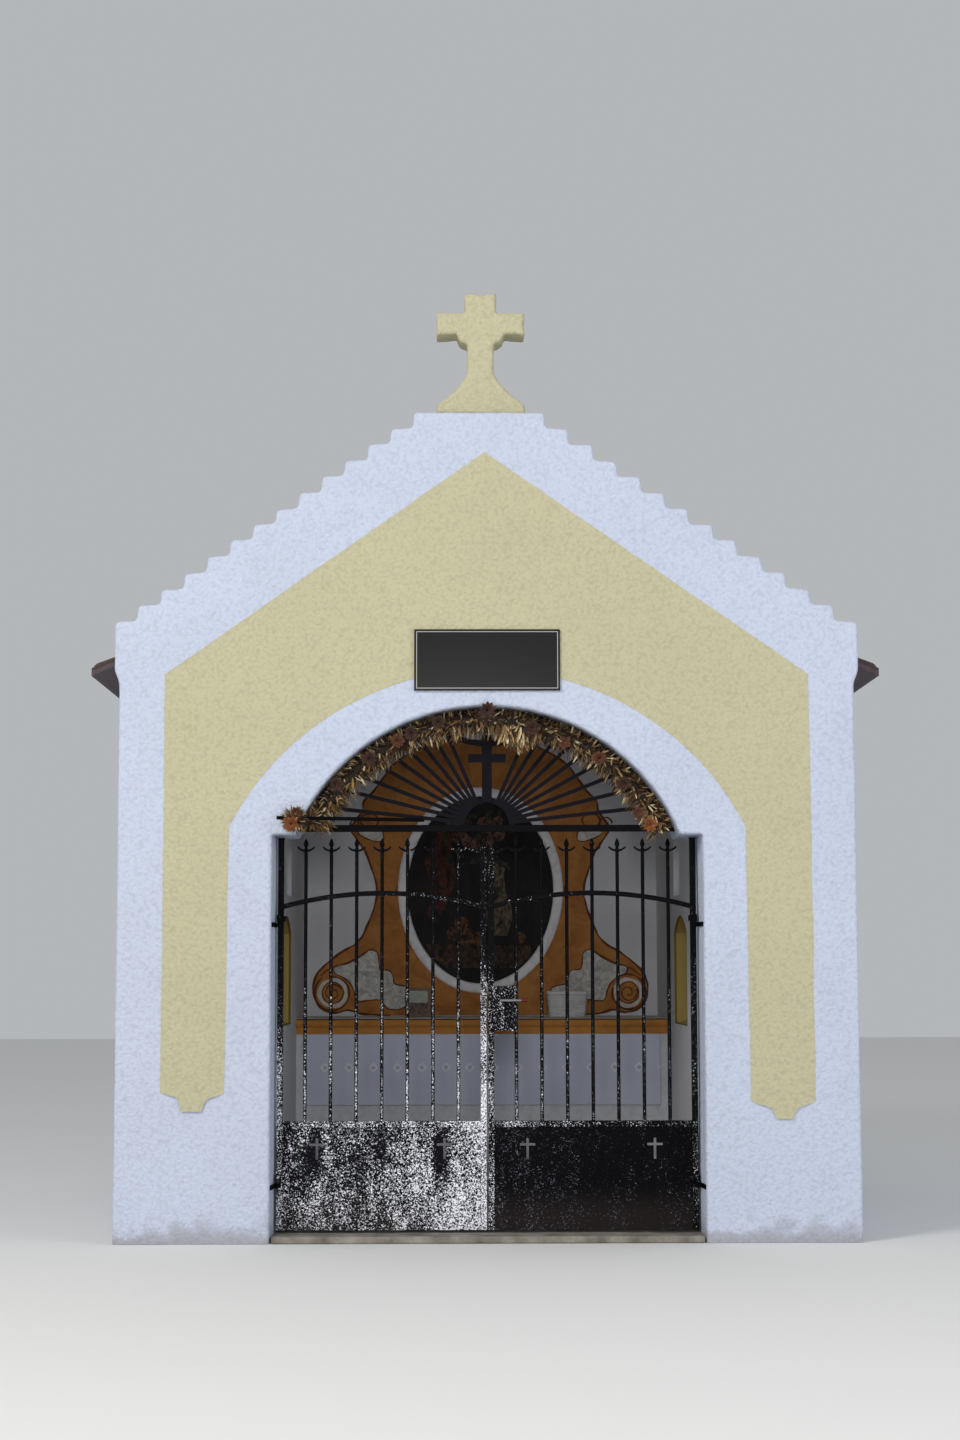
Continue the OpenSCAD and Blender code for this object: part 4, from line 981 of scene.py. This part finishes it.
half_field = np.array(FIELD_LEFT)
field_edge = resample(half_field, 170)
whole_field = np.concatenate([field_edge, (field_edge * [-1, 1])[::-1]])
ochre_parts = [flat_shape(whole_field, PAINT_Y, WALL_Y - 0.0004)]
marble_parts, line_parts, white_parts = [], [], []
for side in (-1, 1):
    flip = np.array([-side, 1.0])
    line_parts.append(brush_line(soften(resample(half_field, 190), 2) * flip, 0.011, False, 0.0012, side))
    for corners in (PATCH_LOW, PATCH_TOP):
        patch = smooth_loop(corners, 3) * flip
        marble_parts.append(flat_shape(patch, PAINT_Y - 0.0008, PAINT_Y - 0.0002))
        line_parts.append(brush_line(patch, 0.007, True, 0.0016, side))
    volute, knob, scroll, curl = (np.array(spot) * flip for spot in (VOLUTE, KNOB, SCROLL, CURL))
    white_parts.append(brush_line(blob(volute, 0.146, 0.146, count=48), 0.021, True, 0.0020, side))
    line_parts += [
        brush_line(blob(volute, 0.118, 0.118, count=44), 0.006, True, 0.0026, side),
        brush_line(spiral(volute, 0.103, 0.088, 0.9, 2.2, -side), 0.009, False, 0.0026, side),
        brush_line(spiral(volute, 0.052, 0.012, 1.4, 0.4, -side), 0.007, False, 0.0026, side),
        brush_line(resample(np.array(TAIL) * flip, 30), 0.006, False, 0.0026),
        brush_line(blob(knob, 0.040, 0.038), 0.006, True, 0.0032),
        brush_line(blob(scroll, 0.100, 0.078, count=40), 0.008, True, 0.0034, side),
        brush_line(spiral(curl, 0.040, 0.012, 1.2, 0.0, side), 0.008, False, 0.0034)]
    ochre_parts += [flat_shape(outline, PAINT_Y - 0.0030, PAINT_Y - 0.0022) for outline in
                    (blob(knob, 0.040, 0.038), blob(scroll, 0.100, 0.078))]
for name, parts, slot_name, paint_name, tint, darker, scale in (
        ("painted_ochre", ochre_parts, "ochre_plaster", "ochre_paint", (195, 134, 71), (164, 105, 52), 7.0),
        ("painted_marble", marble_parts, "limewash", "marble_paint", (222, 220, 214), (160, 160, 156), 24.0),
        ("painted_lines", line_parts, "ochre_plaster", "outline_paint", (112, 62, 30), (82, 44, 22), 12.0),
        ("painted_rings", white_parts, "limewash", "white_paint", (224, 222, 216), (196, 192, 184), 16.0)):
    make_piece(name, parts, lime_paint(paint_name, rgb(*tint), rgb(*darker), scale))


# On the shelf: a ribbed white plastic planter, open at the top, and a small card in a wooden frame that
# leans on nothing but its own foot.

PLANTER_X, PLANTER_Y, PLANTER_W, PLANTER_D = 0.460, 0.781, 0.226, 0.130
CARD_X, CARD_FRONT, CARD_Z = -0.345, 0.986, 1.008


def planter_shell(turns=72):
    """A rounded rectangle carried up the wall, over the rim and down inside to the bottom. The outer wall
    widens upwards, and nine ribs round it swell by a cosine of the height."""
    angle = np.linspace(0, 2 * math.pi, turns, endpoint=False)
    c, s = np.cos(angle), np.sin(angle)
    shape = np.stack([np.sign(c) * np.abs(c) ** 0.28, np.sign(s) * np.abs(s) ** 0.28], axis=1)
    half = np.array([PLANTER_W / 2, PLANTER_D / 2])
    climb = np.linspace(0, 1, 46)
    ribs = 0.0016 * (np.cos(climb * 18 * math.pi) - 1)
    wall = np.stack([-0.014 + 0.011 * climb + ribs, 0.004 + 0.116 * climb], axis=1)
    rim = [(-0.004, 0.121), (0.0, 0.124), (0.0, 0.137), (-0.003, 0.139), (-0.006, 0.136), (-0.020, 0.010),
           (-0.060, 0.010)]
    levels = np.concatenate([[(-0.060, 0.0), (-0.018, 0.0)], wall, rim])
    plan = shape[None] * (half + levels[:, :1])[:, None] + [PLANTER_X, PLANTER_Y]
    height = np.broadcast_to(SHELF_TOP + levels[:, 1, None, None], (len(levels), turns, 1))
    ends = [tuple(range(turns))[::-1], tuple(range((len(levels) - 1) * turns, len(levels) * turns))]
    faces = list(grid_faces(len(levels), turns, close_columns=True)) + ends
    return np.concatenate([plan, height], axis=2), faces


plastic = concrete("planter_plastic", rgb(214, 216, 218), rgb(180, 180, 178), 12.0)
plastic.shader.inputs["Roughness"].default_value = 0.45
plastic.bump.inputs["Strength"].default_value = 0.1
planter = make_piece("ribbed_planter", [planter_shell()], plastic, crease=50)
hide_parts("planter")
eased("framed_card", 0.002, 2, wood("card_wood", rgb(122, 92, 62), rgb(78, 56, 38), (1.0, 1.0, 0.1), 0.5))
make_piece("card_print", [flat_shape(blob((CARD_X, CARD_Z), 0.110, 0.128, 12.0, 40), CARD_FRONT - 0.0006,
                                     CARD_FRONT + 0.0004)],
           lime_paint("card_paint", rgb(142, 118, 108), rgb(52, 42, 40), 90.0))
make_piece("card_print_sky", [flat_shape(blob((CARD_X, CARD_Z + 0.030), 0.106, 0.064, 10.0, 40),
                                         CARD_FRONT - 0.0010, CARD_FRONT - 0.0006)],
           lime_paint("card_sky", rgb(186, 192, 180), rgb(160, 166, 156), 30.0))


# Sunburst fanlight: bars and a half-round hub of forged iron, welded together and set in the arch, with a
# standing cross before the rays. All the ironwork is painted glossy black over its hammered face.


def iron(name, base=0.02, near_middle=0.0, low=0.0, tint=rgb(9, 9, 12), gleam=rgb(244, 246, 255), dust=0.0,
         dim_spots=()):
    """Black hammered paint with painted highlights: silvery flecks stand for the glints where light catches
    its hammered face. Their share is a base amount, plus one that grows towards the gate's middle and one
    that grows downwards. It is less in clouds drawn out downwards, round the dim spots, and where the face
    turns sideways.
    Dust from the path lies lowest."""
    paint = Paint(name, 0.45, Specular_IOR_Level=0.04)
    height = paint.axis("Z")
    cloud = paint.noise(14.0, 4.0, 0.6, at=paint.scaled((1.0, 1.0, 0.3)))
    facing = paint.axis("Y", paint.add("TexCoord").outputs["Normal"])
    aside = paint.calc("ABSOLUTE", paint.axis("X"))
    amounts = [paint.remap(aside, 0.62, 0.04, 0.0, near_middle, "SMOOTHSTEP"),
               paint.remap(height, 1.55, 0.60, 0.0, low, "SMOOTHSTEP"),
               paint.remap(cloud, 0.32, 0.62, -0.16, 0.06), base]
    # Painted shade and drips: fewer glints round each given spot, the panel's two cross cut-outs.
    for spot in dim_spots:
        away = paint.add("VectorMath", {0: paint.place, 1: spot}, operation="SUBTRACT").outputs["Vector"]
        away = paint.add("VectorMath", {0: away, 1: (1.0, 1.0, 0.4)}, operation="MULTIPLY").outputs["Vector"]
        away = paint.add("VectorMath", {0: away}, operation="LENGTH").outputs["Value"]
        amounts.append(paint.remap(away, 0.0, 0.055, -0.34, 0.0))
    # Painted highlight that follows the face: fewer glints where it turns sideways.
    amounts.append(paint.remap(paint.calc("ABSOLUTE", facing), 0.50, 0.92, -0.5, 0.0))
    share = amounts[0]
    for amount in amounts[1:]:
        share = paint.calc("ADD", share, amount)
    dimples = paint.noise(150.0, 3.0, 0.62, 0.7)
    # Painted highlight: where the share is high, the glints are silvery flecks painted into the colour.
    glint = paint.remap(paint.calc("SUBTRACT", dimples, paint.remap(share, 0.0, 1.0, 0.80, 0.34)), 0.0, 0.09)
    foot = paint.remap(height, 0.25, 0.07, 0.0, dust, "SMOOTHSTEP")
    return paint.coat(paint.mix(glint, paint.mix(foot, tint, rgb(74, 64, 60)), gleam), dimples, 0.55, 0.0022)


fan_iron = iron("fan_iron", -0.04, tint=rgb(18, 17, 23))
bar_iron = iron("bar_iron", 0.03)
eased("transom_bar", 0.002, 2, bar_iron)
eased("sunburst_cross", 0.0015, 2, fan_iron)
paint_node("sunburst_grille", fan_iron)
paint_node("garland_rod", bar_iron)


# Garland: dried straw husks and flower heads, bound in overlapping sprays round a core of twisted stems
# and tied along the arch. Its left end comes forward round the arch's edge.

ARCH_IN = ARCH_R - 0.003
PATH_R, PATH_Y = 0.863, -1.530
LEFT_END = ((-0.755, -1.552, 1.880), (-0.790, -1.580, 1.845), (-0.850, -1.642, 1.842))
FLOWERS = [(-.866, 1.826, .066, 0), (-.842, 1.878, .046, 2), (-.672, 2.005, .062, 1), (-.526, 2.120, .062, 1),
           (-.400, 2.200, .056, 2), (-.340, 2.234, .058, 1), (-.215, 2.284, .062, 1), (.000, 2.330, .070, 1),
           (.200, 2.258, .070, 1), (.345, 2.190, .050, 2), (.500, 2.122, .062, 2), (.606, 2.008, .060, 1),
           (.672, 1.880, .050, 2), (.722, 1.826, .062, 0)]
FLOWER_TONES = (0.72, 0.12, 0.40)


def unit(vectors):
    """Vectors brought to length one."""
    return vectors / np.maximum(np.linalg.norm(vectors, axis=-1, keepdims=True), 1e-9)


def blades(roots, ways, tops, lengths, widths, curl):
    """Many closed leaf blades at once. Along each, the width follows a leaf's outline and the middle bends
    towards its top side by the square of the way along; across, four points make a thin folded section."""
    along = np.array([0.0, 0.22, 0.55, 0.82, 1.0])
    outline = np.array([0.30, 0.86, 1.0, 0.60, 0.05])
    ways, tops = unit(ways), unit(tops - unit(ways) * np.sum(tops * unit(ways), axis=-1, keepdims=True))
    sides = np.cross(ways, tops)
    spine = (roots[:, None] + ways[:, None] * (lengths[:, None] * along)[..., None]
             + tops[:, None] * (lengths[:, None] * curl[:, None] * along ** 2)[..., None])
    half = 0.5 * widths[:, None] * outline
    fold = 0.30 * half
    ring = np.stack([spine + sides[:, None] * half[..., None] + tops[:, None] * fold[..., None],
                     spine + tops[:, None] * 0.0007,
                     spine - sides[:, None] * half[..., None] + tops[:, None] * fold[..., None],
                     spine - tops[:, None] * 0.0007], axis=2)
    one = np.concatenate([grid_faces(5, 4, close_columns=True)[:, ::-1], [[0, 1, 2, 3], [19, 18, 17, 16]]])
    faces = (one[None] + 20 * np.arange(len(roots))[:, None, None]).reshape(-1, 4)
    return ring.reshape(len(roots), 20, 3), faces


def held_in(points):
    """Keeps what hangs in the doorway inside the arch, and what lies before the wall in front of it."""
    off = np.hypot(points[..., 0], points[..., 2] - ARCH_Z)
    before = points[..., 1] < FRONT_Y - 0.002
    scale = np.where(before, 1.0, np.minimum(1.0, ARCH_IN / off))
    points = points.copy()
    points[..., 0] *= scale
    points[..., 2] = ARCH_Z + (points[..., 2] - ARCH_Z) * scale
    return points


def sprays(count, draw):
    """Husks round the bound part: each starts at the core, at a random angle round the path, and leans
    outwards, a little along the path towards its lower end, and down."""
    turn = np.radians(draw.uniform(25.5, 153, count))
    outward = np.stack([np.cos(turn), 0 * turn, np.sin(turn)], axis=1)
    along = np.stack([np.sin(turn), 0 * turn, -np.cos(turn)], axis=1)
    along *= np.where(np.cos(turn) > 0, 1, -1)[:, None]
    round_path = draw.uniform(-0.75, 3.9, count)
    radial = outward * np.cos(round_path)[:, None] + np.array([0.0, -1.0, 0.0]) * np.sin(round_path)[:, None]
    core = outward * PATH_R + np.array([0.0, PATH_Y, ARCH_Z])
    roots = core + radial * draw.uniform(0.006, 0.030, count)[:, None]
    ways = radial + along * draw.uniform(-0.25, 0.9, count)[:, None] + draw.normal(0, 0.28, (count, 3)) \
        + np.array([0.0, 0.0, -0.25])
    lengths = draw.uniform(0.032, 0.060, count) * (1.12 - 0.22 * np.cos(round_path))
    return roots, ways, radial, lengths


def end_sprays(count, draw):
    """Husks of the left end: they stand out all round three knots, the last one before the wall."""
    which = draw.choice(3, count, p=(0.25, 0.25, 0.5))
    knot = np.array(LEFT_END)[which]
    ways = unit(draw.normal(0, 1, (count, 3)) + np.array([-0.1, -0.45, 0.1]))
    ways[:, 1] = np.where(which == 2, -np.abs(ways[:, 1]), ways[:, 1])
    ways = np.maximum(ways, [-1.0, -0.55, -0.7])
    return knot + ways * 0.008, ways, unit(draw.normal(0, 1, (count, 3))), draw.uniform(0.040, 0.066, count)


def tassel(count, draw):
    """Husks of the bunch right of the cross: they hang down in three steps from the path's underside."""
    x = draw.uniform(0.045, 0.235, count)
    step = draw.integers(0, 3, count)
    reach = np.clip(1.0 - np.abs(x - 0.13) / 0.14, 0.1, 1.0)
    z = ARCH_Z + np.sqrt((PATH_R - 0.02) ** 2 - x ** 2) - 0.036 * step * reach
    roots = np.stack([x, PATH_Y - draw.uniform(0.0, 0.045, count), z], axis=1)
    ways = np.stack([draw.normal(0, 0.28, count), draw.uniform(-0.5, 0.1, count), np.full(count, -1.0)],
                    axis=1)
    return roots, ways, np.tile([0.0, -1.0, 0.0], (count, 1)), draw.uniform(0.042, 0.064, count)


def flower(middle, facing, size, draw):
    """One flower head: three whorls of broad petals round the way that it faces, steeper towards the
    middle."""
    petals = (11, 9, 7)
    whorl = np.repeat([0, 1, 2], petals)
    place = np.concatenate([np.arange(n) * 2 * math.pi / n for n in petals]) + draw.uniform(0, 0.5, 27)
    facing = unit(np.array(facing, float))
    first = unit(np.cross(facing, [0.1, 0.2, 1.0]))
    flat = first * np.cos(place)[:, None] + np.cross(facing, first) * np.sin(place)[:, None]
    ways = flat + facing * np.array([0.35, 0.9, 1.9])[whorl][:, None]
    lengths = size * np.array([0.52, 0.44, 0.34])[whorl] * draw.uniform(0.9, 1.08, 27)
    return np.array(middle) + flat * 0.004, ways, facing + 0 * ways, lengths


def husk(name, stops):
    """Dry husks or petals: each blade's tone runs through given colours, with fine lengthwise stains."""
    paint = Paint(name, 0.75)
    tone = paint.add("Attribute", attribute_name="tone").outputs["Fac"]
    darker = paint.remap(paint.noise(180.0, 2.0), 0.3, 0.6, 0.7, 1.0)
    return paint.coat(paint.mix(1.0, paint.ramp(tone, stops), darker, "MULTIPLY"))


def core_tube():
    """The dark core: a ring of twelve points carried along the arch and forward to the left end's knots, its
    radius uneven by seeded waves, drawn in at both ends."""
    turn = np.radians(np.linspace(27.5, 150, 110))
    path = np.stack([PATH_R * np.cos(turn), np.full(110, PATH_Y), ARCH_Z + PATH_R * np.sin(turn)], axis=1)
    path = np.concatenate([path, resample([path[-1], *LEFT_END], 18)[1:]])
    run = unit(np.gradient(path, axis=0))
    first = unit(np.cross(run, [0.0, 1.0, 0.05]))
    second = np.cross(run, first)
    angle = np.linspace(0, 2 * math.pi, 12, endpoint=False)
    ring = first[:, None] * np.cos(angle)[None, :, None] + second[:, None] * np.sin(angle)[None, :, None]
    size = 0.030 * np.sin(np.linspace(0.12, math.pi - 0.12, len(path))) ** 0.18
    rough = waves((path[:, None] + ring).reshape(-1, 3), 71, 0.12, 0.03, 20).reshape(len(path), 12, 1)
    points = path[:, None] + ring * size[:, None, None] * (1 + 0.18 * rough)
    faces = list(grid_faces(len(path), 12, close_columns=True))
    a, b, c = points[0, 0], points[0, 1], points[1, 0]
    outwards = np.dot(np.cross(b - a, c - a), ring[0, 0]) > 0
    faces += [tuple(range(12))[::-1], tuple(range((len(path) - 1) * 12, len(path) * 12))]
    return held_in(points), faces if outwards else [f[::-1] for f in faces]


draw = np.random.default_rng(73)
groups = [sprays(2700, draw), end_sprays(560, draw), tassel(260, draw)]
roots, ways, tops, lengths = (np.concatenate([g[k] for g in groups]) for k in range(4))
widths = draw.uniform(0.0055, 0.0105, len(roots))
blade_points, blade_faces = blades(roots, ways, tops, lengths, widths, draw.uniform(-0.25, 0.35, len(roots)))
blade_tones = np.repeat(np.clip(draw.beta(0.9, 1.3, len(roots)), 0.02, 0.98), 20)
# The straw's colours are partly its own and partly painted light: the darkest tones stand for shade in the
# gaps between husks, and the palest for highlights.
straw = husk("straw", ((0.0, rgb(26, 18, 10)), (0.4, rgb(96, 66, 34)), (0.7, rgb(172, 138, 86)),
                       (1.0, rgb(252, 236, 192))))
core_points, core_faces = core_tube()
husks = make_piece("garland_husks", [(held_in(blade_points), blade_faces), (core_points, core_faces)], straw)
set_tone(husks, np.concatenate([blade_tones, np.full(core_points.size // 3, 0.03)]))
heads, head_tones = [], []
for x, z, size, kind in FLOWERS:
    before = -1.676 if x < -0.82 else (-1.652 if x == 0 else -1.592)
    roots, ways, tops, lengths = flower((x, before, z), (0.12 * x, -1.0, -0.12), size, draw)
    head, head_faces = blades(roots, ways, tops, lengths, lengths * 0.62, np.full(len(roots), -0.22))
    heads.append((head if before < FRONT_Y else held_in(head), head_faces))
    head_tones.append(np.repeat(FLOWER_TONES[kind] + draw.uniform(-0.1, 0.12, len(roots)), 20))
petals = husk("petals", ((0.0, rgb(38, 20, 12)), (0.3, rgb(74, 38, 20)), (0.6, rgb(108, 58, 22)),
                         (1.0, rgb(158, 90, 34))))
flowers = make_piece("garland_flowers", heads, petals)
set_tone(flowers, np.concatenate(head_tones))
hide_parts("garland")


# Gate hooks: bent iron brackets built into both jambs, each with a seat and a pin on which a leaf's eye
# turns.

for name in ("left_hinge_hooks", "right_hinge_hooks"):
    eased(name, 0.0012, 2, bar_iron)


# Gate leaves: square stiles and rails with round bars that end in spear heads over small curved blades, a
# curved flat bar across them, and a sheet panel below. The left leaf's paint carries the most painted
# highlights, and the right sheet is painted darker, with dimmer glints, as shade.

SHEET_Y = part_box("left_leaf_panel")[0][1]
# Both leaves wear the same black paint: the left's denser, brighter glints are painted highlight, and the
# right sheet's darker tint and dimmer glints are painted shade.
left_bars = iron("left_bars", 0.27, near_middle=0.14, low=0.36)
right_bars = iron("right_bars", 0.23, near_middle=0.10, low=0.26)
left_sheet = iron("left_sheet", 0.56, near_middle=0.16, tint=rgb(14, 14, 19), dust=0.15,
                  dim_spots=((-0.766, SHEET_Y, 0.374), (-0.206, SHEET_Y, 0.374)))
right_sheet = iron("right_sheet", 0.38, near_middle=0.06, tint=rgb(6, 6, 9), gleam=rgb(118, 118, 132),
                   dust=0.22)
for side, bars, sheet in (("left", left_bars, left_sheet), ("right", right_bars, right_sheet)):
    for part, width, segments, paint in (("grille", 0.0015, 2, bars), ("rail", 0.0015, 2, bars),
                                         ("eyes", 0.0010, 2, bars), ("panel", 0.0006, 1, sheet)):
        eased(side + "_leaf_" + part, width, segments, paint, side + "_leaf")


# Lock: a welded iron box on the right leaf with a keyhole, and a bent lever of bare steel whose end is
# rusty red.

eased("lock_box", 0.002, 2, iron("lock_iron", 0.54), "right_leaf")
steel = Paint("lever_steel", 0.4, Metallic=0.7)
worn = steel.mix(steel.noise(90.0, 4.0), rgb(92, 90, 92), rgb(150, 147, 147))
steel.coat(steel.mix(steel.remap(steel.axis("X"), 0.146, 0.152), worn, rgb(96, 30, 30)))
eased("lever_handle", 0.001, 2, steel, "lever")
